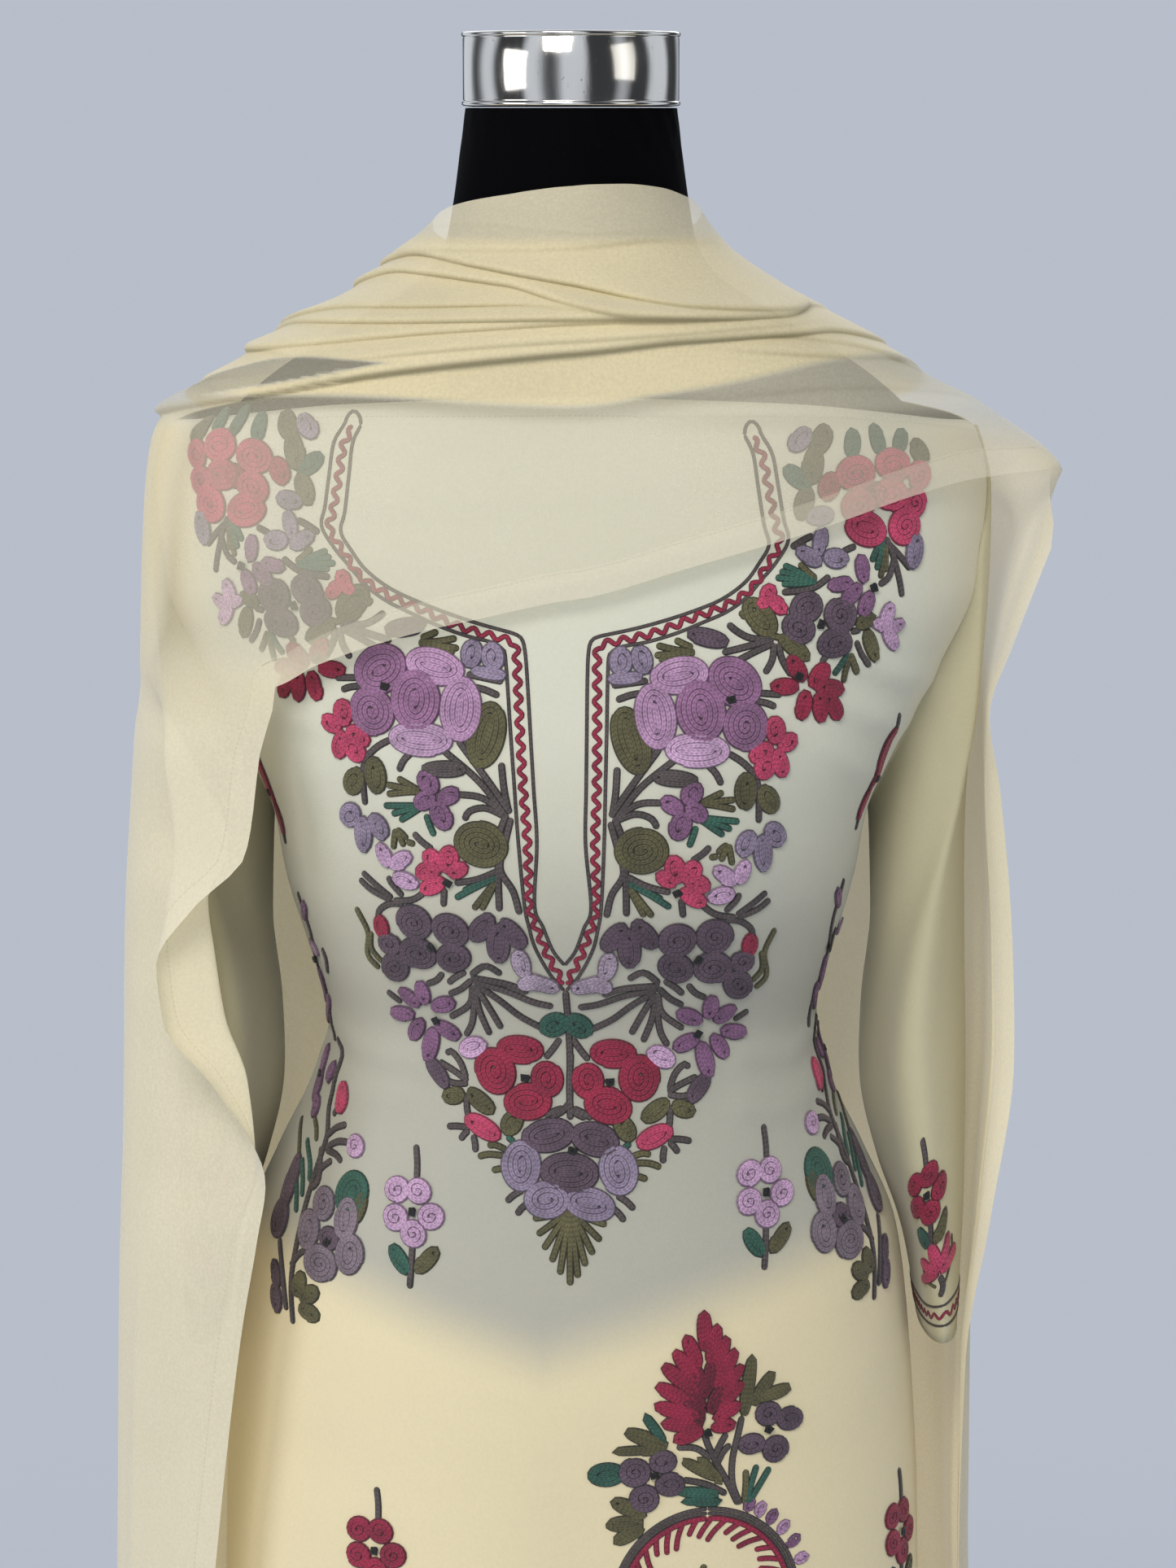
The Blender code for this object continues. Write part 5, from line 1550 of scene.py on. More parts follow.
@dataclass
class Kameez:
    """The tunic: a front and a back panel sewn at the shoulders and down to the slits, and two sleeves."""

    neck_z: float = 1.3415
    neck_fade_z: float = 1.262
    tip_z: float = 1.318
    underarm_z: float = 1.125
    slit_z: float = 0.78
    hem_z: float = 0.36
    slit_spread: float = 0.028
    half_seam: float = 0.00015
    sleeve_seam: float = 0.0002
    stand_off: float = 0.001
    thickness: float = 0.0006
    rows: int = 220
    columns: int = 144
    contour: Contour = field(default_factory=lambda: Contour(table(
        "z half front back square edge",
        (1.3455, 0.159, 0.0985, 0.0985, 2.3, 90.0), (1.3364, 0.172, 0.101, 0.101, 2.4, 90.0),
        (1.329, 0.185, 0.103, 0.102, 2.4, 90.0), (1.318, 0.204, 0.106, 0.104, 2.5, 90.0),
        (1.287, 0.21, 0.113, 0.108, 2.5, 79.0), (1.245, 0.208, 0.121, 0.11, 2.5, 75.0),
        (1.203, 0.19, 0.128, 0.11, 2.5, 75.0), (1.161, 0.167, 0.131, 0.108, 2.6, 79.0),
        (1.125, 0.151, 0.13, 0.105, 2.6, 90.0), (1.0926, 0.1455, 0.125, 0.101, 2.5, 90.0),
        (1.054, 0.135, 0.112, 0.096, 2.3, 90.0), (1.015, 0.125, 0.101, 0.092, 2.2, 90.0),
        (0.978, 0.135, 0.1045, 0.1, 2.2, 90.0), (0.945, 0.151, 0.109, 0.11, 2.2, 90.0),
        (0.9015, 0.169, 0.115, 0.121, 2.2, 90.0), (0.857, 0.175, 0.118, 0.127, 2.2, 90.0),
        (0.813, 0.1785, 0.119, 0.129, 2.2, 90.0), (0.768, 0.181, 0.119, 0.129, 2.3, 90.0),
        (0.714, 0.182, 0.119, 0.127, 2.4, 90.0), (0.55, 0.19, 0.12, 0.123, 2.5, 90.0),
        (0.36, 0.202, 0.121, 0.122, 2.6, 90.0),
    )))
    boat_neck: dict = field(default_factory=lambda: table(
        "across angle drop",
        (0.00, 0.0, 0.001), (0.4, 36.0, 0.006), (0.6, 55.0, 0.0115), (0.74, 70.0, 0.016), (0.84, 87.0, 0.0195),
        (1.00, 89.6, 0.0235),
    ))
    sleeve: dict = field(default_factory=lambda: table(
        "outer_x outer_z inner_x inner_z depth back bulge armhole",
        (0.209, 1.312, 0.157, 1.118, 0.045, 0.000, 0.015, 1.00),
        (0.208, 1.25, 0.157, 1.088, 0.048, 0.002, 0.015, 0.5),
        (0.205, 1.2, 0.156, 1.058, 0.05, 0.005, 0.01, 0.2),
        (0.202, 1.13, 0.155, 1.015, 0.055, 0.009, 0.004, 0.00),
        (0.202, 1.055, 0.155, 0.97, 0.059, 0.012, 0.0000, 0.00),
        (0.203, 0.985, 0.163, 0.932, 0.06, 0.012, 0.0000, 0.00),
        (0.203, 0.918, 0.1765, 0.893, 0.059, 0.012, 0.0000, 0.00),
        (0.202, 0.85, 0.1835, 0.847, 0.056, 0.012, 0.0000, 0.00),
    ))
    # Creases across the front, in metres from the centre and metres up: where they run, how far they stand
    # out, and how wide they are above and below.
    creases: tuple[Fold, ...] = (
        Fold(((0.105, 1.236), (0.15, 1.206), (0.184, 1.192)), 0.0026, 0.01, 0.005, 0.3),
        Fold(((0.112, 1.205), (0.145, 1.182), (0.172, 1.17)), 0.0022, 0.009, 0.005, 0.3),
        Fold(((0.12, 1.172), (0.14, 1.156), (0.158, 1.146)), 0.0014, 0.008, 0.006, 0.3),
        Fold(((-0.178, 1.2), (-0.15, 1.186), (-0.118, 1.18)), 0.0016, 0.008, 0.006),
        Fold(((0.08, 1.01), (0.11, 1.006), (0.128, 1.016)), 0.0018, 0.007, 0.006),
        Fold(((-0.128, 1.02), (-0.105, 1.008), (-0.07, 1.006)), 0.0018, 0.008, 0.006),
        Fold(((-0.128, 0.992), (-0.1, 0.986), (-0.08, 0.99)), 0.0012, 0.006, 0.006),
        Fold(((0.08, 0.984), (0.106, 0.98), (0.132, 0.992)), 0.0014, 0.007, 0.006),
    )

    def panel(self, rows: int, columns: int) -> tuple[Array, Array]:
        """A panel's angles and heights: even rows from the boat neck to the hem, the upper ones bent down
        towards the shoulder tip, and columns from side edge to side edge.

        Args:
            rows: how many rows.
            columns: how many columns.

        Returns:
            The angle and the height of each point.
        """
        level = np.linspace(self.neck_z, self.hem_z, rows)[:, None]
        across = np.linspace(-1, 1, columns)[None, :]
        near_top = np.clip((level - self.neck_fade_z) / (self.neck_z - self.neck_fade_z), 0, 1)
        z = level - near_top * through(self.boat_neck["across"], self.boat_neck["drop"], np.abs(across))
        neck_angle = through(self.boat_neck["across"], self.boat_neck["angle"], np.abs(across))
        angle = (1 - near_top) * np.abs(across) * self.contour.at("edge", z) + near_top * neck_angle
        return np.sign(across) * angle, z

    def face(self, side: Side, angle: Array, z: Array) -> Array:
        """The panel's outer face: the body's ring at the cloth's stand-off, its side edges parting below the
        slits by the sixth power of their place across, shallow upright flutes below the hips, and the listed
        creases.

        Args:
            side: which panel.
            angle: degrees from the panel's own centre, positive towards +X.
            z: heights.

        Returns:
            A point for each angle and height.
        """
        front = side is Side.FRONT
        turn = angle if front else 180 - angle
        p = self.contour.ring(turn, z, out=self.stand_off)
        x, y = p[..., 0], p[..., 1]
        below = np.clip((self.slit_z - z) / (self.slit_z - self.hem_z), 0, 1)
        outer = np.clip((np.abs(x) / self.contour.at("half", z)) ** 6, 0, 1)
        way = -1 if front else 1
        flutes = 0.004 * np.sin(x / 0.03) * np.clip((0.86 - z) / 0.3, 0, 1)
        y = y + way * (self.half_seam + self.slit_spread * below * outer) + flutes
        relief = sum(fold.relief(x if front else -x, z) for fold in self.creases)
        drape = 0.0011 * smooth(z, 1.2, 1.06) * np.sin(x / 0.021 + 0.6 + 2.5 * z) * smooth(z, 0.88, 1.02)
        lift = (relief * (1 if front else 0.6) + drape) * smooth(1.33 - z, 0.0, 0.05)
        return np.stack([x, y, z + 0 * x], axis=-1) + self.contour.away(turn, z) * lift[..., None]

    def chart(self, side: Side) -> Chart:
        """A flat map of a panel's outer face, for the needlework."""
        z = np.linspace(1.34, self.hem_z, 330)[:, None]
        points = self.face(side, np.linspace(-90.0, 90.0, 181)[None, :], z)
        return Chart(points if side is Side.FRONT else points[:, ::-1], z[:, 0], 90)

    def make_panel(
        self, side: Side, finish: bpy.types.Material, work: list[bpy.types.Object]
    ) -> bpy.types.Object:
        """One panel, as a thin shell on its outer face, with its distance from the nearest hem.

        Args:
            side: which panel.
            finish: its material.
            work: the needlework on it; not used.

        Returns:
            The piece.
        """
        angle, z = self.panel(self.rows, self.columns)
        points = self.face(side, angle, z)
        if side is Side.BACK:
            points = points[:, ::-1]
        down, along = lengths(points, 0), lengths(points, 1)
        from_side = np.minimum(along, along[:, -1:] - along)
        from_side = np.where(z < self.slit_z, from_side, 1.0)
        from_hem = down[-1:] - down
        edge = np.minimum(np.minimum(from_hem * 0.6, from_side), down + 0.004)
        faces = grid_faces(*points.shape[:2])
        mesh = mesh_of(f"kameez_{side.value}", points.reshape(-1, 3), faces)
        put_number(mesh, "edge", edge)
        put_number(mesh, "along", np.where(from_hem * 0.6 < from_side, along, down))
        piece = piece_of(f"kameez_{side.value}_panel", mesh, finish)
        thicken(piece, self.thickness)
        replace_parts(piece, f"kameez_{side.value}")
        return piece

    def sleeve_points(self, rows: int) -> Array:
        """The right sleeve as rings that turn from the upright armhole to the level cuff. Each ring is
        middle + reach * cos + depth * sin, with a bulge by sin squared, and near the top it is blended with
        the armhole's own curve.

        Args:
            rows: how many rows the armhole's edge takes.

        Returns:
            The rings, refined both ways.
        """
        level = np.linspace(self.neck_z, self.underarm_z, rows)[:, None]
        near_top = np.clip((level - self.neck_fade_z) / (self.neck_z - self.neck_fade_z), 0, 1)
        z = level - near_top * self.boat_neck["drop"][-1]
        angle = (1 - near_top) * self.contour.at("edge", z) + near_top * self.boat_neck["angle"][-1]
        front_edge = self.contour.ring(angle, z)[:, 0] - (0, self.half_seam, 0)
        back_edge = self.contour.ring(180 - angle, z)[:, 0] + (0, self.half_seam, 0)
        armhole = np.concatenate([back_edge, front_edge[-2:0:-1]])
        turn = np.arange(len(armhole)) / len(armhole) * math.tau
        ahead, side = np.cos(turn)[:, None], np.sin(turn)[:, None]
        armhole[[0, rows - 1], 1] = 0
        armhole = armhole + (1 + (1 - ahead) / 2) * (self.sleeve_seam, 0, 0)
        rings = [armhole]
        for outer_x, outer_z, inner_x, inner_z, depth, back, bulge, share in zip(*self.sleeve.values()):
            middle = np.array([(outer_x + inner_x) / 2, back, (outer_z + inner_z) / 2])
            reach = np.array([(outer_x - inner_x) / 2, 0, (outer_z - inner_z) / 2])
            ring = middle + ahead * reach + side * (0, depth, 0) + side**2 * (bulge, 0, 0)
            lowered = armhole + (0.0025, 0, outer_z - self.tip_z)
            rings.append(share * lowered + (1 - share) * ring)
        return refined(refined(np.array(rings), 9, 0), 6, 1, closed=True)

    def sleeve_face(self) -> Array:
        """The right sleeve's outer face: its rings, set out by the stand-off, with soft slanting creases.

        Returns:
            A closed grid of points.
        """
        points = self.sleeve_points(9)
        count = points.shape[1]
        around = np.arange(count)[None, :] / count * math.tau
        down = np.linspace(0, 1, len(points))[:, None]
        middle = np.sin(down * math.pi)
        creases = middle * (0.0007 * np.sin(3 * around + 9 * down) + 0.0006 * np.sin(5 * around - 14 * down))
        creases = creases + 0.0019 * np.sin(
            4 * around + 2.6 * down + 0.8
        ) * smooth(down, 0.15, 0.5) * smooth(down, 1.0, 0.85)
        lift = 0.0008 + creases * smooth(down, 0.12, 0.3)
        return points + outward(points, closed=True) * lift[..., None]

    def make_sleeve(
        self, name: str, points: Array, finish: bpy.types.Material, yarn: bpy.types.Material, patterns: Patterns
    ) -> bpy.types.Object:
        """One sleeve.

        Args:
            name: left or right.
            points: its outer face.
            finish: its material.
            yarn: the needlework's material.
            patterns: what is worked on it.

        Returns:
            The piece.
        """
        down, along = lengths(points, 0), lengths(points, 1)
        faces = grid_faces(*points.shape[:2], closed=True)
        mesh = mesh_of(f"sleeve_{name}", points.reshape(-1, 3), faces)
        put_number(mesh, "edge", down[-1:] - down)
        put_number(mesh, "along", along)
        piece = piece_of(f"{name}_sleeve", mesh, finish)
        thicken(piece, self.thickness)
        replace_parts(piece, f"sleeve_{name}")
        lower = points[len(points) // 2 :]
        front = points.shape[1] * 3 // 4 if name == "right" else points.shape[1] // 4
        work = Needlework(
            f"{name}_sleeve_embroidery", Chart(lower, lower[:, front, 2], front, closed=True), yarn
        )
        patterns.sleeve(work, flip=name == "left")
        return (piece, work.make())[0]

    def make(self) -> None:
        """Builds the tunic and its needlework."""
        finish = Georgette("kameez_georgette", "D0CEBA", "E3D4AB").opaque("belt")
        yarn = ChainStitch().material()
        patterns = Patterns()
        front, back = self.chart(Side.FRONT), self.chart(Side.BACK)
        neck = Needlework("neck_embroidery", front, yarn, patterns.neck_rows())
        skirt = Needlework("skirt_embroidery", front, yarn)
        patterns.front(skirt)
        behind = Needlework("back_embroidery", back, yarn)
        patterns.back(behind)
        self.make_panel(Side.FRONT, finish, [neck.make(), skirt.make()])
        self.make_panel(Side.BACK, finish, [behind.make()])
        # Painted shade: the sleeves are the kameez's cloth, given darker colours for the shade they lie in
        # beside the body and under the dupatta's falls.
        shaded_sleeve_finish = Georgette("sleeve_georgette_painted_shade", "C3BFA4", "C2B994").opaque("cloth")
        right = self.sleeve_face()
        self.make_sleeve("right", right, shaded_sleeve_finish, yarn, patterns)
        self.make_sleeve("left", right[:, ::-1] * (-1, 1, 1), shaded_sleeve_finish, yarn, patterns)


# ---------------------------------------------------------------------------------------------- salwar


@dataclass
class Salwar:
    """The trousers: a belt, and for each leg its panel, its inner gore and its ankle cuff."""

    form: Contour
    belt_z: float = 0.886
    belt_sag: float = 0.012
    belt_low: float = 0.7
    crotch_drop: float = 0.075
    ankle_z: float = 0.105
    cuff_z: float = 0.045
    pleats: int = 4
    pleat_depth: float = 0.0045
    lift: float = 0.0008
    leg: Contour = field(default_factory=lambda: Contour(table(
        "z seam_x outer_x inner_x front back",
        (0.6997, 0.0016, 0.1665, 0.0016, 0.109, 0.119), (0.62, 0.011, 0.16, 0.002, 0.104, 0.112),
        (0.5, 0.03, 0.152, 0.004, 0.095, 0.1), (0.36, 0.045, 0.144, 0.012, 0.085, 0.088),
        (0.22, 0.06, 0.131, 0.022, 0.072, 0.074), (0.105, 0.072, 0.115, 0.032, 0.058, 0.06),
    )))

    def section(self, angle: Array, z: Array, edge: str) -> tuple[Array, Array]:
        """Half of a leg's ring, from its front seam to its back seam: x = seam + (edge - seam) * sin^0.85,
        y = -depth * cos^0.9 with its sign.

        Args:
            angle: degrees from the front seam.
            z: heights.
            edge: the column that the ring reaches, outer_x or inner_x.

        Returns:
            The ring's x and y.
        """
        turn = np.radians(angle)
        seam, reach = self.leg.at("seam_x", z), self.leg.at(edge, z)
        depth = np.where(angle < 90, self.leg.at("front", z), self.leg.at("back", z))
        x = seam + (reach - seam) * np.sin(turn) ** 0.85
        y = -depth * np.sign(np.cos(turn)) * np.abs(np.cos(turn)) ** 0.9
        return x, y

    def make_piece(
        self, name: str, node: str, points: Array, finish: bpy.types.Material,
        closed: bool = False
    ) -> None:
        """One sewn piece of the salwar.

        Args:
            name: the piece's name.
            node: the CAD node that it replaces.
            points: its face, before the cloth's stand-off.
            finish: its material.
            closed: whether it goes all round.
        """
        points = points + outward(points, closed)[...] * self.lift
        down, along = lengths(points, 0), lengths(points, 1)
        faces = grid_faces(*points.shape[:2], closed=closed)
        mesh = mesh_of(name, points.reshape(-1, 3), faces)
        put_number(mesh, "edge", np.minimum(down, down[-1:] - down) + 0.0005)
        put_number(mesh, "along", along)
        piece = piece_of(name, mesh, finish)
        thicken(piece, 0.0005)
        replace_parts(piece, node)

    def make(self) -> None:
        """Builds the salwar. A leg's fullness is pleated: its ring shrinks by (1 - cos) of its angle."""
        finish = Georgette("salwar_georgette", "DDD6B4", "EAE3BF").opaque("cloth")
        angle = np.arange(144) * 2.5
        down = np.linspace(0, 1, 60)[:, None]
        top = self.belt_z - self.belt_sag * (0.5 + 0.5 * np.cos(np.radians(angle)))[None, :]
        z = top + (self.belt_low - top) * down
        gather = 0.00045 * (
            1 + np.sin(np.radians(angle) * 44 + 2 * np.sin(np.radians(angle) * 5))
        ) * smooth(down, 0.1, 0.02)
        belt = self.form.ring(angle[None, :], np.maximum(z, 0.83), out=0.0006 + gather)
        belt[..., 2] = z
        self.make_piece("belt", "salwar_belt", belt, finish, closed=True)

        angle = np.linspace(0.0, 180.0, 97)[None, :]
        z = np.linspace(self.leg.rows["z"][0], self.ankle_z, 130)[:, None]
        x, y = self.section(angle, z, "outer_x")
        share = np.clip((self.leg.rows["z"][0] - z) / (self.leg.rows["z"][0] - self.ankle_z), 0, 1)
        fullness = np.sin(share * math.pi) ** 0.7
        pleat = 1 - self.pleat_depth / 0.08 * fullness * (1 - np.cos(np.radians(angle) * 2 * self.pleats)) / 2
        fine = 1 - 0.006 * smooth(share, 0.8, 1.0) * (
            1 - np.cos(np.radians(angle) * 34)
        ) * smooth(share, 1.02, 0.97)
        slack = 1 - 0.01 * smooth(share, 0.62, 0.86) * smooth(share, 1.0, 0.92) * (
            1 - np.cos(share * 90 + np.sin(np.radians(angle) * 3))
        )
        leg = np.stack([x * pleat * fine * slack, y * pleat * fine * slack, z + 0 * x], axis=-1)
        leg[:, 0, 0] = leg[:, -1, 0] = x[:, 0] + self.half_seam
        self.make_piece("right_leg", "salwar_leg_right", leg, finish)
        self.make_piece("left_leg", "salwar_leg_left", leg[:, ::-1] * (-1, 1, 1), finish)

        angle = np.linspace(0.0, 180.0, 61)[None, :]
        bow = np.sin(np.radians(angle))
        top = self.leg.rows["z"][0] - 0.004 - self.crotch_drop * bow
        z = top + (self.ankle_z - top) * np.linspace(0, 1, 90)[:, None]
        x, y = self.section(angle, z, "inner_x")
        gore = np.stack([x - self.half_seam * (1 - bow) + self.half_seam * bow, y, z], axis=-1)[:, ::-1]
        self.make_piece("right_gore", "salwar_gore_right", gore, finish)
        self.make_piece(
            "left_gore", "salwar_gore_left", gore[:, ::-1] * (-1, 1, 1), finish
        )

        turn = np.arange(108) / 108 * math.tau
        middle = (self.leg.rows["outer_x"][-1] + self.leg.rows["inner_x"][-1]) / 2
        half = (self.leg.rows["outer_x"][-1] - self.leg.rows["inner_x"][-1]) / 2
        z = np.linspace(self.ankle_z - 0.0003, self.cuff_z, 26)[:, None]
        ridge = 0.0003 * np.cos((self.ankle_z - z) * math.tau / 0.0085)
        depth = self.leg.rows["front"][-1]
        cuff = np.stack(
            [middle + (half + ridge) * np.sin(turn), -(depth + ridge) * np.cos(turn), z + 0 * turn], axis=-1
        )
        self.make_piece("right_cuff", "salwar_cuff_right", cuff, finish, closed=True)
        self.make_piece(
            "left_cuff", "salwar_cuff_left", cuff[:, ::-1] * (-1, 1, 1), finish,
            closed=True
        )

    half_seam: float = 0.00015


# ---------------------------------------------------------------------------------------------- dupatta


@dataclass
class Dupatta:
    """The sheer shawl: wound over the neck and chest, with both ends thrown back over the shoulders."""

    end_z: float = 0.48
    left_edge: float = -35.0
    right_edge: float = 78.0
    back_edge: float = 158.0
    corner_angle: float = 84.0
    corner_z: float = 1.296
    corner_flare: float = 0.033
    corner_span: tuple[float, float] = (16.0, 0.026)
    pleats: int = 4
    pleat_depth: float = 0.01
    lift: float = 0.0008
    yoke_rows: int = 165
    yoke_levels: tuple = (0.0, 0.05, 0.11, 0.18, 0.25, 0.33, 0.46, 0.64, 0.83, 1.0)
    hanging_levels: tuple = (0.0, 0.08, 0.18, 0.28, 0.4, 0.58, 0.8, 1.0)
    left_shares: tuple = (0.0, 0.2, 0.26, 0.32, 0.41, 0.52, 0.68, 0.87, 1.0)
    right_shares: tuple = (0.0, 0.02, 0.045, 0.09, 0.2, 0.42, 0.66, 0.88, 1.0)
    yoke: Contour = field(default_factory=lambda: Contour(table(
        "z half front back square",
        (1.442, 0.059, 0.06, 0.0582, 2.0), (1.43, 0.0635, 0.067, 0.063, 2.0), (1.41, 0.078, 0.08, 0.073, 2.0),
        (1.39, 0.106, 0.093, 0.086, 2.1), (1.376, 0.129, 0.103, 0.096, 2.2), (1.36, 0.156, 0.11, 0.104, 2.3),
        (1.343, 0.181, 0.112, 0.108, 2.4), (1.329, 0.203, 0.115, 0.111, 2.5), (1.312, 0.212, 0.119, 0.114, 2.5),
        (1.28, 0.216, 0.126, 0.118, 2.5), (1.24, 0.218, 0.134, 0.121, 2.5), (1.2, 0.219, 0.14, 0.123, 2.6),
    )))
    edges: dict = field(default_factory=lambda: table(
        "angle top hem",
        (-160.0, 1.402, 1.23), (-120.0, 1.412, 1.225), (-80.0, 1.426, 1.21), (-54.0, 1.432, 1.201),
        (-36.0, 1.435, 1.201), (-28.0, 1.4362, 1.2129), (-22.0, 1.4373, 1.2208), (-14.0, 1.4385, 1.23),
        (-7.0, 1.4394, 1.2368), (0.0, 1.44, 1.245), (10.0, 1.4408, 1.259), (25.0, 1.441, 1.274),
        (47.0, 1.439, 1.2915), (64.0, 1.435, 1.298), (80.0, 1.431, 1.3), (120.0, 1.418, 1.25),
        (160.0, 1.402, 1.23),
    ))
    left_fall: Contour = field(default_factory=lambda: Contour(table(
        "z hem_x hem_y turn_x turn_y tuck_x tuck_y side_x side_y back_x back_y edge_x edge_y",
        (1.162, 0.152, -0.112, 0.209, -0.096, 0.18, -0.086, 0.222, -0.015, 0.178, 0.12, 0.066, 0.136),
        (1.117, 0.159, -0.113, 0.21, -0.095, 0.156, -0.08, 0.226, -0.013, 0.183, 0.123, 0.065, 0.138),
        (1.0887, 0.186, -0.108, 0.208, -0.096, 0.17, -0.081, 0.228, -0.012, 0.185, 0.124, 0.064, 0.139),
        (1.06, 0.204, -0.104, 0.207, -0.094, 0.166, -0.08, 0.2295, -0.012, 0.187, 0.125, 0.064, 0.14),
        (1.03, 0.201, -0.102, 0.204, -0.092, 0.161, -0.08, 0.2305, -0.012, 0.188, 0.126, 0.064, 0.141),
        (0.9976, 0.177, -0.1, 0.18, -0.09, 0.153, -0.08, 0.2315, -0.012, 0.189, 0.128, 0.065, 0.143),
        (0.9473, 0.152, -0.097, 0.156, -0.089, 0.16, -0.081, 0.233, -0.012, 0.19, 0.13, 0.065, 0.146),
        (0.9178, 0.157, -0.095, 0.166, -0.091, 0.176, -0.08, 0.234, -0.012, 0.191, 0.132, 0.066, 0.149),
        (0.8669, 0.166, -0.092, 0.179, -0.085, 0.194, -0.072, 0.235, -0.012, 0.192, 0.134, 0.066, 0.152),
        (0.7552, 0.18, -0.086, 0.192, -0.079, 0.206, -0.066, 0.2365, -0.012, 0.194, 0.136, 0.066, 0.153),
        (0.62, 0.193, -0.084, 0.204, -0.077, 0.216, -0.064, 0.24, -0.012, 0.198, 0.137, 0.065, 0.153),
        (0.48, 0.204, -0.084, 0.215, -0.077, 0.226, -0.064, 0.246, -0.012, 0.203, 0.138, 0.063, 0.154),
    )))
    right_fall: Contour = field(default_factory=lambda: Contour(table(
        "z hem_x hem_y turn_x turn_y tuck_x tuck_y side_x side_y back_x back_y edge_x edge_y",
        (1.273, 0.2432, -0.05, 0.2386, -0.039, 0.2346, -0.027, 0.226, 0.006, 0.176, 0.11, 0.064, 0.131),
        (1.215, 0.2208, -0.056, 0.2174, -0.045, 0.2164, -0.031, 0.214, 0.006, 0.178, 0.116, 0.065, 0.133),
        (1.178, 0.2088, -0.056, 0.2087, -0.046, 0.2097, -0.032, 0.2085, 0.006, 0.18, 0.119, 0.065, 0.135),
        (1.14, 0.2148, -0.056, 0.2104, -0.046, 0.2094, -0.032, 0.21, 0.006, 0.181, 0.121, 0.064, 0.137),
        (1.06, 0.2224, -0.056, 0.2172, -0.045, 0.2142, -0.032, 0.215, 0.006, 0.183, 0.124, 0.064, 0.14),
        (1.0000, 0.2244, -0.054, 0.2192, -0.044, 0.2162, -0.031, 0.216, 0.007, 0.184, 0.127, 0.064, 0.143),
        (0.918, 0.2144, -0.05, 0.2104, -0.041, 0.2094, -0.029, 0.2115, 0.008, 0.185, 0.131, 0.065, 0.149),
        (0.84, 0.2028, -0.046, 0.2014, -0.036, 0.2024, -0.025, 0.207, 0.01, 0.186, 0.134, 0.066, 0.152),
        (0.734, 0.201, -0.043, 0.201, -0.033, 0.203, -0.022, 0.207, 0.012, 0.188, 0.136, 0.066, 0.153),
        (0.62, 0.2066, -0.043, 0.2063, -0.033, 0.2083, -0.022, 0.212, 0.012, 0.193, 0.137, 0.065, 0.153),
        (0.48, 0.215, -0.043, 0.215, -0.033, 0.217, -0.022, 0.221, 0.012, 0.199, 0.138, 0.063, 0.154),
    )))
    second_layer: dict = field(default_factory=lambda: table(
        "angle z",
        (-130.0, 1.312), (-104.0, 1.33), (-80.0, 1.336), (-52.0, 1.341), (-33.0, 1.342), (0.0, 1.338),
        (14.0, 1.3439), (45.0, 1.3579), (61.0, 1.3597), (85.0, 1.354), (104.0, 1.344), (140.0, 1.32),
    ))
    bare: dict = field(default_factory=lambda: table(
        "angle low high",
        (-132.0, 1.311, 1.311), (-112.0, 1.3195, 1.327), (-95.0, 1.3262, 1.3375), (-85.0, 1.33, 1.3425),
        (-72.0, 1.3345, 1.35), (-58.0, 1.3398, 1.357), (-46.0, 1.3452, 1.3585), (-36.0, 1.3508, 1.3582),
        (-28.0, 1.3556, 1.3572), (-24.0, 1.357, 1.357),
    ))
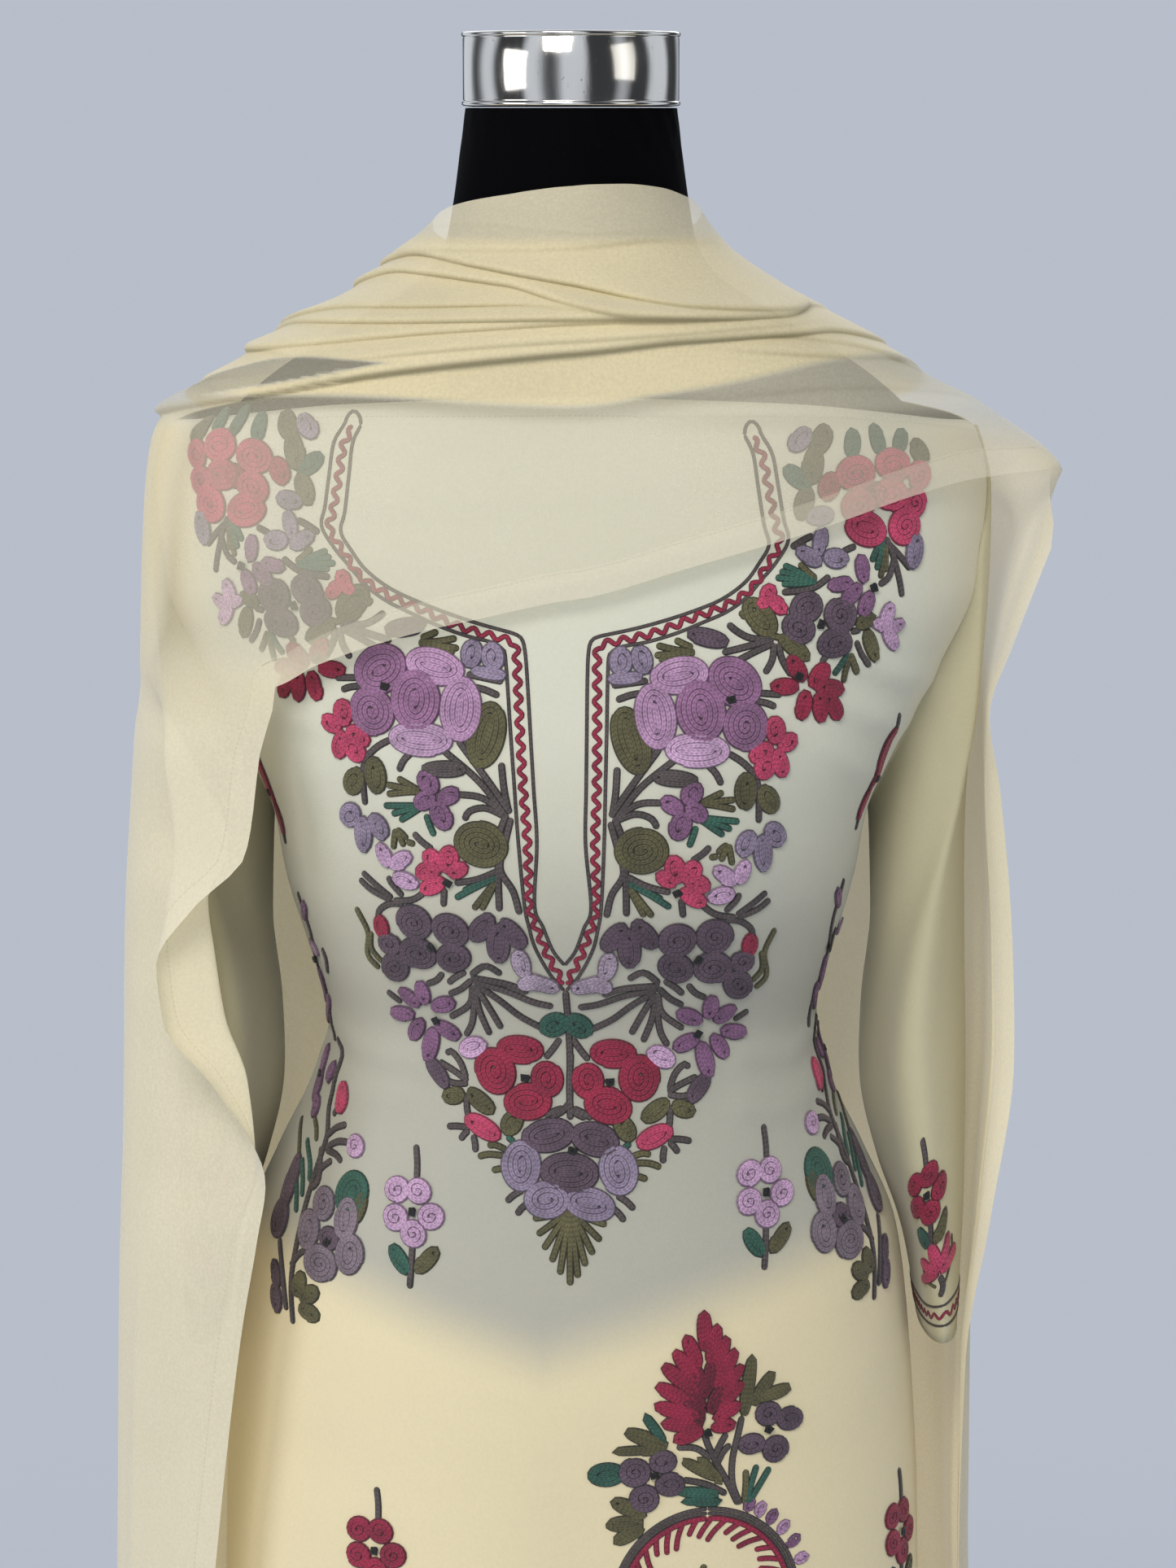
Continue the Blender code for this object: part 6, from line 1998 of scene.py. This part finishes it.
    # Folds over the neck and chest, in degrees round and metres up: the line of each ridge, how far it
    # stands out, and how wide it is above and, where it laps over the next, below.
    folds: tuple[Fold, ...] = (
        Fold(((-88, 1.419), (-40, 1.424), (10, 1.42), (50, 1.423)), 0.0008, 0.006, 0.003, 0.3),
        Fold(((-100, 1.406), (-59, 1.411), (-2, 1.4128), (32, 1.4163), (58, 1.414)), 0.0016, 0.01, 0.003, 0.3),
        Fold(
            (
                (-128, 1.393), (-90, 1.402), (-59, 1.4084), (-30, 1.404), (-2, 1.3964), (27, 1.3845),
                (52, 1.3822), (74, 1.385)
            ),
            0.0052, 0.012, 0.002, 0.22
        ),
        Fold(
            ((-128, 1.38), (-90, 1.3925), (-60, 1.4), (-17, 1.3951), (10, 1.3819), (34, 1.3785)), 0.0044, 0.007,
            0.0019, 0.24
        ),
        Fold(
            ((-132, 1.356), (-100, 1.37), (-87, 1.375), (-60, 1.3826), (-37, 1.3841), (-9, 1.3857), (12, 1.38)),
            0.0044, 0.007, 0.0019, 0.26
        ),
        Fold(
            (
                (-134, 1.35), (-104, 1.365), (-80, 1.3735), (-38, 1.3768), (9, 1.3797), (48, 1.3793),
                (68, 1.3823), (90, 1.379)
            ),
            0.0044, 0.006, 0.0019, 0.22
        ),
        Fold(
            ((-134, 1.338), (-104, 1.354), (-53, 1.3655), (-20, 1.3734), (9, 1.3775), (30, 1.377)), 0.0034,
            0.006, 0.0019, 0.24
        ),
        Fold(((-50, 1.3545), (-10, 1.367), (24, 1.373), (60, 1.376)), 0.002, 0.006, 0.0019, 0.25),
        Fold(
            (
                (-134, 1.308), (-104, 1.322), (-80, 1.33), (-52, 1.34), (-29, 1.353), (-2, 1.363), (20, 1.3692),
                (56, 1.3714), (85, 1.364), (110, 1.354)
            ),
            0.0052, 0.014, 0.0021, 0.24
        ),
        Fold(((-134, 1.344), (-100, 1.36), (-69, 1.3616), (-50, 1.3595)), 0.003, 0.008, 0.003, 0.35),
        Fold(((-134, 1.324), (-104, 1.34), (-75, 1.347), (-52, 1.352)), 0.0026, 0.006, 0.0025, 0.35),
        Fold(((24, 1.365), (50, 1.36), (76, 1.356), (112, 1.34)), 0.0022, 0.008, 0.0024, 0.25),
        Fold(((40, 1.371), (62, 1.364), (84, 1.348)), 0.0022, 0.006, 0.0024, 0.25),
        Fold(((10, 1.342), (40, 1.347), (70, 1.342), (96, 1.33)), 0.0014, 0.01, 0.004, 0.3),
        Fold(((30, 1.33), (62, 1.327), (88, 1.312)), 0.0012, 0.016, 0.01, 0.3),
        Fold(((-60, 1.3), (-20, 1.292), (30, 1.308)), 0.001, 0.014, 0.01, 0.3),
        Fold(((-56, 1.266), (-30, 1.26), (-8, 1.264)), 0.0009, 0.012, 0.008, 0.3),
    )

    def edge_of(self, name: str, angle: Array) -> Array:
        """The height of the neck edge (top) or the front hem (hem) at an angle."""
        return through(self.edges["angle"], self.edges[name], angle)

    def on_body(self, angle: Array, z: Array) -> Array:
        """The shawl where it lies on the neck, shoulders and chest: the body's rings, set out by the folds,
        and flared at the corner where the hem turns over the viewer's right shoulder by a bell curve.

        Args:
            angle: degrees round from the centre front.
            z: heights.

        Returns:
            A point for each angle and height.
        """
        relief = 1.25 * sum(fold.relief(angle, z) for fold in self.folds)
        crease = np.exp(
            -(((angle + 58 - (1.322 - z) * 260) / 1.7) ** 2)
        ) * smooth(z, 1.335, 1.315) * smooth(z, 1.19, 1.23)
        relief = relief + 0.0024 * crease
        spread, drop = self.corner_span
        corner = self.corner_flare * np.exp(
            -(((angle - self.corner_angle) / spread) ** 2) - ((z - self.corner_z) / drop) ** 2
        )
        return self.yoke.ring(angle, z, out=relief) + corner[..., None] * (1, -0.3, 0)

    def yoke_heights(self, angle: Array) -> Array:
        """Heights of the rows from the neck edge to the height of the front hem."""
        top, hem = self.edge_of("top", angle), self.edge_of("hem", angle)
        return top + (hem - top) * spline(self.yoke_levels, self.yoke_rows)[:, None]

    def front_points(self, columns: int) -> Array:
        """The stretch across the neck and chest."""
        angle = np.linspace(self.left_edge, self.right_edge, columns)[None, :]
        return self.on_body(angle, self.yoke_heights(angle))

    def fall_points(
        self, side: int, rows: Contour, shares: tuple, front_angle: float, free_z: tuple[float, float],
        hanging_rows: int, columns: int
    ) -> Array:
        """A hanging stretch, from its front edge round the arm to its inner back edge. Each level is a
        B-spline in plan through the table's places, and between the two free heights it is blended by a
        soft step into the shape that it has on the shoulder.

        Args:
            side: -1 for the viewer's left and 1 for the right.
            rows: the table of its places in plan.
            shares: how far round the body each control point lies on the shoulder.
            front_angle: where its front edge meets the front stretch.
            free_z: the heights above and below which it lies on the shoulder and hangs free.
            hanging_rows: how many rows hang free.
            columns: how many columns.

        Returns:
            A grid of points from the front edge to the back edge.
        """
        weights = spline_weights(len(shares), np.linspace(0, 1, columns))
        angle = side * (front_angle + (self.back_edge - front_angle) * (weights @ np.array(shares)))[None, :]
        upper = self.yoke_heights(angle)
        z = np.concatenate(
            [upper, upper[-1] + (self.end_z - upper[-1]) * spline(self.hanging_levels, hanging_rows)[1:, None]]
        )
        plan = []
        for axis in "xy":
            place = {
                name: rows.at(f"{name}_{axis}", z)
                for name in ("hem", "turn", "tuck", "side", "back", "edge")
            }
            across = axis == "x"
            controls = [
                place["hem"], place["turn"], (place["turn"] + place["tuck"]) / 2, place["tuck"],
                place["side"] - (0.0 if across else 0.026), place["side"] + (0.004 if across else 0.026),
                place["side"] * 0.3 + place["back"] * 0.7 + (0.012 if across else 0.0),
                (place["back"] + place["edge"]) / 2, place["edge"],
            ]
            plan.append(sum(weight * control for weight, control in zip(weights.T, controls)))
        hanging = self.pleated(np.stack([side * plan[0], plan[1], z], axis=-1), side)
        free = smooth(z, free_z[0], free_z[1])[..., None]
        return self.on_body(angle, z) * (1 - free) + hanging * free

    def pleated(self, grid: Array, side: int) -> Array:
        """Adds the upright pleats that open towards the end, behind the arm: a sine of the place across,
        deeper with depth below the shoulder, and a finer one that fades in and out.

        Args:
            grid: the plain stretch.
            side: -1 for the viewer's left and 1 for the right.

        Returns:
            The pleated stretch.
        """
        across = np.linspace(0, 1, grid.shape[1])[None, :]
        deep = np.clip((1.2 - grid[..., 2]) / 0.55, 0, 1)
        behind = np.clip((across - 0.52) / 0.15, 0, 1)
        wave = self.pleat_depth * deep * behind * np.sin((across - 0.52) / 0.48 * math.tau * self.pleats)
        fine = 0.0016 * deep * np.sin(across * 61 + grid[..., 2] * 3) * np.sin(
            across * 11 + 1.2 + grid[..., 2] * 5
        )
        wave = wave + fine * smooth(across, 0.16, 0.34)
        return grid + np.stack([side * wave * 0.35, wave, 0 * wave], axis=-1) + np.stack(
            [side * fine * smooth(across, 0.2, 0.4) * smooth(across, 0.7, 0.5), 0 * fine, 0 * fine], axis=-1
        )

    def layers_at(self, points: Array) -> Array:
        """How many layers of the shawl lie on each other: one over the chest and arms, more in the folds
        round the neck, and two where the turned-back side shows behind the front.

        Args:
            points: a grid of points.

        Returns:
            The number of layers at each point, in fractions where it changes.
        """
        x, y, z = points[..., 0], points[..., 1], points[..., 2]
        turn = np.degrees(np.arctan2(x / 0.18, -y / 0.11))
        low = through(self.second_layer["angle"], self.second_layer["z"], turn)
        second = smooth(z - low, -0.0035, 0.001)
        angle = self.yoke.angle_of(points)
        bare_low, bare_high = (through(self.bare["angle"], self.bare[name], angle) for name in ("low", "high"))
        bare = smooth(z - bare_low, -0.0006, 0.0016) * smooth(bare_high - z, -0.0006, 0.0016)
        left = smooth(turn, -57, -68) * smooth(z, 1.332, 1.318)
        right = smooth(angle, 68, 77) * smooth(z, 1.325, 1.3)
        patch = smooth(turn, 4, 26) * smooth(z, 1.328, 1.336)
        hanging = smooth(z, 1.232, 1.165)
        single = 0.55 + np.maximum(
            np.maximum(1.75 * left, 0.9 * right), np.maximum(0.45 * patch, hanging * np.where(x < 0, 2.7, 2.2))
        )
        return single + second * (1 - bare) * (np.maximum(2.8 - single, 0) - 1.15 * smooth(z, 1.41, 1.417))

    def crease_shade_at(self, points: Array) -> Array:
        """How deep in a crease between folds each point lies, from 0 to 1: the share of painted shade there."""
        angle = self.yoke.angle_of(points)
        depth = sum(fold.crease_shade(angle, points[..., 2]) for fold in self.folds)
        return np.minimum(depth, 1.0) * smooth(points[..., 2], 1.3, 1.32)

    def make(self) -> bpy.types.Object:
        """Builds the shawl as one sheet: the front stretch and both hanging ones, joined where they meet, with
        each point's layers, distance from the hem, and depth in a crease for the painted shade there.

        Returns:
            The piece.
        """
        stretches = {
            "left": self.fall_points(
                -1, self.left_fall, self.left_shares, -self.left_edge, (1.2000, 1.1600), 72, 130
            )[:, ::-1],
            "front": self.front_points(170),
            "right": self.fall_points(
                1, self.right_fall, self.right_shares, self.right_edge, (1.2960, 1.2650), 72, 120
            ),
        }
        parts, faces, numbers, count = [], [], {"layers": [], "edge": [], "along": [], "crease_shade": []}, 0
        for name, stretch in stretches.items():
            edge, run = self.from_edges(name, stretch)
            parts.append(stretch.reshape(-1, 3))
            faces.append(grid_faces(*stretch.shape[:2]) + count)
            numbers["layers"].append(self.layers_at(stretch).ravel())
            numbers["crease_shade"].append(self.crease_shade_at(stretch).ravel())
            numbers["edge"].append(edge.ravel())
            numbers["along"].append(run.ravel())
            count += stretch.shape[0] * stretch.shape[1]
        mesh = mesh_of("dupatta", np.concatenate(parts), np.concatenate(faces))
        for name, values in numbers.items():
            put_number(mesh, name, np.concatenate(values))
        shape = bmesh.new()
        shape.from_mesh(mesh)
        bmesh.ops.remove_doubles(shape, verts=shape.verts, dist=2e-6)
        shape.to_mesh(mesh)
        shape.free()
        mesh.shade_smooth()
        points, normals = np.empty((2, len(mesh.vertices) * 3), np.float32)
        mesh.vertices.foreach_get("co", points)
        mesh.vertex_normals.foreach_get("vector", normals)
        mesh.vertices.foreach_set("co", points + normals * self.lift)
        mesh.update()
        finish = Georgette("dupatta_georgette", "E6DDC2", "E2D3A9").sheer(0.50)
        piece = piece_of("dupatta", mesh, finish)
        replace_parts(piece, "dupatta_front", "dupatta_left", "dupatta_right")
        return piece

    def from_edges(self, name: str, stretch: Array) -> tuple[Array, Array]:
        """Distances from the shawl's own edges: its hem, its two ends, its neck edge and its back edges.

        Args:
            name: which stretch: left, front or right.
            stretch: its points.

        Returns:
            For each point, how far it is from the nearest edge and how far along that edge.
        """
        down, along = lengths(stretch, 0), lengths(stretch, 1)
        if name == "front":
            return np.minimum(down[-1:] - down, down + 0.03), along[-1:] + 0 * down
        from_hem = along[:, -1:] - along if name == "left" else along
        from_back = along if name == "left" else along[:, -1:] - along
        above = np.maximum(down[self.yoke_rows - 1] - down, 0)
        near = np.sqrt(above**2 + from_hem**2)
        edge = np.minimum(np.minimum(near, from_back), np.minimum(down + 0.03, down[-1:] - down))
        return edge, down


# ---------------------------------------------------------------------------------------------- studio


@dataclass
class Studio:
    """A pale floor that fades out, soft lamps and the camera at the photograph's angle."""

    backdrop: str = "BCC3CF"
    floor: str = "C9CCD2"
    camera_at: tuple[float, float, float] = (0.0085, -2.1, 1.48)
    tilt: float = 80.639
    lens: float = 94.7
    floor_radius: float = 3.0
    floor_rings: int = 13
    floor_sides: int = 64

    def make_floor(self) -> None:
        """A round floor, its colour fading to nothing 1.4 to 3 m out."""
        material, nodes, shader = new_material("floor")
        place = nodes.place()
        x, y, _ = nodes.split(place)
        reach = nodes.math(
            "SQRT", nodes.math("ADD", nodes.math("MULTIPLY", x, x), nodes.math("MULTIPLY", y, y))
        )
        nodes.join(shader.inputs["Alpha"], nodes.step(reach, 2.6, 0.9))
        grain = nodes.noise(place, 30.0, 3.0)
        nodes.join(shader.inputs["Base Color"], nodes.mix(grain, srgb(self.floor), srgb("C4C7CE")))
        shader.inputs["Roughness"].default_value = 0.7
        radius = np.linspace(0.0, self.floor_radius, self.floor_rings)[:, None]
        turn = np.arange(self.floor_sides) / self.floor_sides * math.tau
        points = np.stack([radius * np.sin(turn), radius * np.cos(turn), 0 * radius * turn - 0.0002], axis=-1)
        faces = grid_faces(self.floor_rings, self.floor_sides, closed=True)
        mesh = mesh_of("floor", points.reshape(-1, 3), faces)
        mesh.flip_normals()
        floor = bpy.data.objects.new("floor", mesh)
        mesh.materials.append(material)
        bpy.context.scene.collection.objects.link(floor)

    def make_light(self) -> None:
        """Soft lamps: a broad one in front and above, a fill at each side, and one behind for the edges."""
        lamps = (
            ("front", (-0.7, -2.6, 3.2), (0.0, 0.0, 1.25), (1.5, 1.1), 63.0, (1.0, 0.985, 0.96)),
            ("left", (-3.0, -1.6, 1.5), (0.0, 0.0, 0.9), (1.6, 2.4), 36.0, (0.97, 0.98, 1.0)),
            ("right", (3.0, -1.8, 2.0), (0.0, 0.0, 1.0), (1.6, 2.4), 13.0, (1.0, 0.99, 0.97)),
            ("back", (0.3, 3.2, 2.8), (0.0, 0.0, 1.1), (2.4, 1.6), 34.0, (0.98, 0.99, 1.0)),
        )
        for name, at, towards, size, power, colour in lamps:
            data = bpy.data.lights.new(name, "AREA")
            data.shape = "RECTANGLE"
            data.size, data.size_y = size
            data.energy = power
            data.color = colour
            lamp = bpy.data.objects.new(f"lamp_{name}", data)
            lamp.location = at
            way = np.array(towards) - np.array(at)
            level = math.hypot(way[0], way[1])
            lamp.rotation_euler = (math.atan2(level, -way[2]), 0.0, math.atan2(-way[0], way[1]))
            bpy.context.scene.collection.objects.link(lamp)

    def make_world(self) -> None:
        """The room: plain and pale to the camera. Bright upright windows and darker gaps between them show
        only in what the chrome reflects."""
        world = bpy.data.worlds.new("studio")
        bpy.context.scene.world = world
        world.use_nodes = True
        nodes = Nodes(world.node_tree)
        background = world.node_tree.nodes["Background"]
        way = nodes.add("ShaderNodeTexCoord").outputs["Generated"]
        x, y, _ = nodes.split(way)
        turn = nodes.math("ARCTAN2", x, nodes.math("MULTIPLY", y, -1.0))
        panes = nodes.math("SINE", nodes.math("ADD", nodes.math("MULTIPLY", turn, 7.0), 0.9))
        wide = nodes.math("SINE", nodes.math("ADD", nodes.math("MULTIPLY", turn, 3.0), 2.2))
        bright = nodes.step(nodes.math("ADD", panes, nodes.math("MULTIPLY", wide, 0.8)), -0.5, 0.9, 0.10, 1.5)
        seen = nodes.add("ShaderNodeLightPath")
        glossy = seen.outputs["Is Glossy Ray"]
        plain = nodes.math("ADD", nodes.math("MULTIPLY", seen.outputs["Is Camera Ray"], 0.15), 0.80)
        strength = nodes.math(
            "ADD", nodes.math("MULTIPLY", glossy, bright),
            nodes.math("MULTIPLY", nodes.math("SUBTRACT", 1.0, glossy), plain)
        )
        nodes.join(background.inputs["Color"], srgb(self.backdrop))
        nodes.join(background.inputs["Strength"], strength)

    def make_camera(self) -> None:
        """The camera: level with the cap, tilted down, its lens set for the long side of the frame."""
        data = bpy.data.cameras.new("camera")
        data.sensor_width = 36.0
        data.lens = self.lens
        data.clip_end = 60.0
        camera = bpy.data.objects.new("camera", data)
        camera.location = self.camera_at
        camera.rotation_euler = (math.radians(self.tilt), 0.0, 0.0)
        bpy.context.scene.collection.objects.link(camera)
        bpy.context.scene.camera = camera

    def make(self) -> None:
        """Sets up the studio."""
        self.make_floor()
        self.make_light()
        self.make_world()
        self.make_camera()
        bpy.context.scene.view_settings.view_transform = "Standard"


def main() -> None:
    """Builds the studio, the form and the suit, and writes how large they came out."""
    logging.basicConfig(level=logging.INFO, format="%(name)s: %(message)s")
    Studio().make()
    form = DressForm()
    form.make()
    kameez = Kameez()
    kameez.make()
    Salwar(form.contour).make()
    Dupatta().make()


if __name__ == "__main__":
    main()
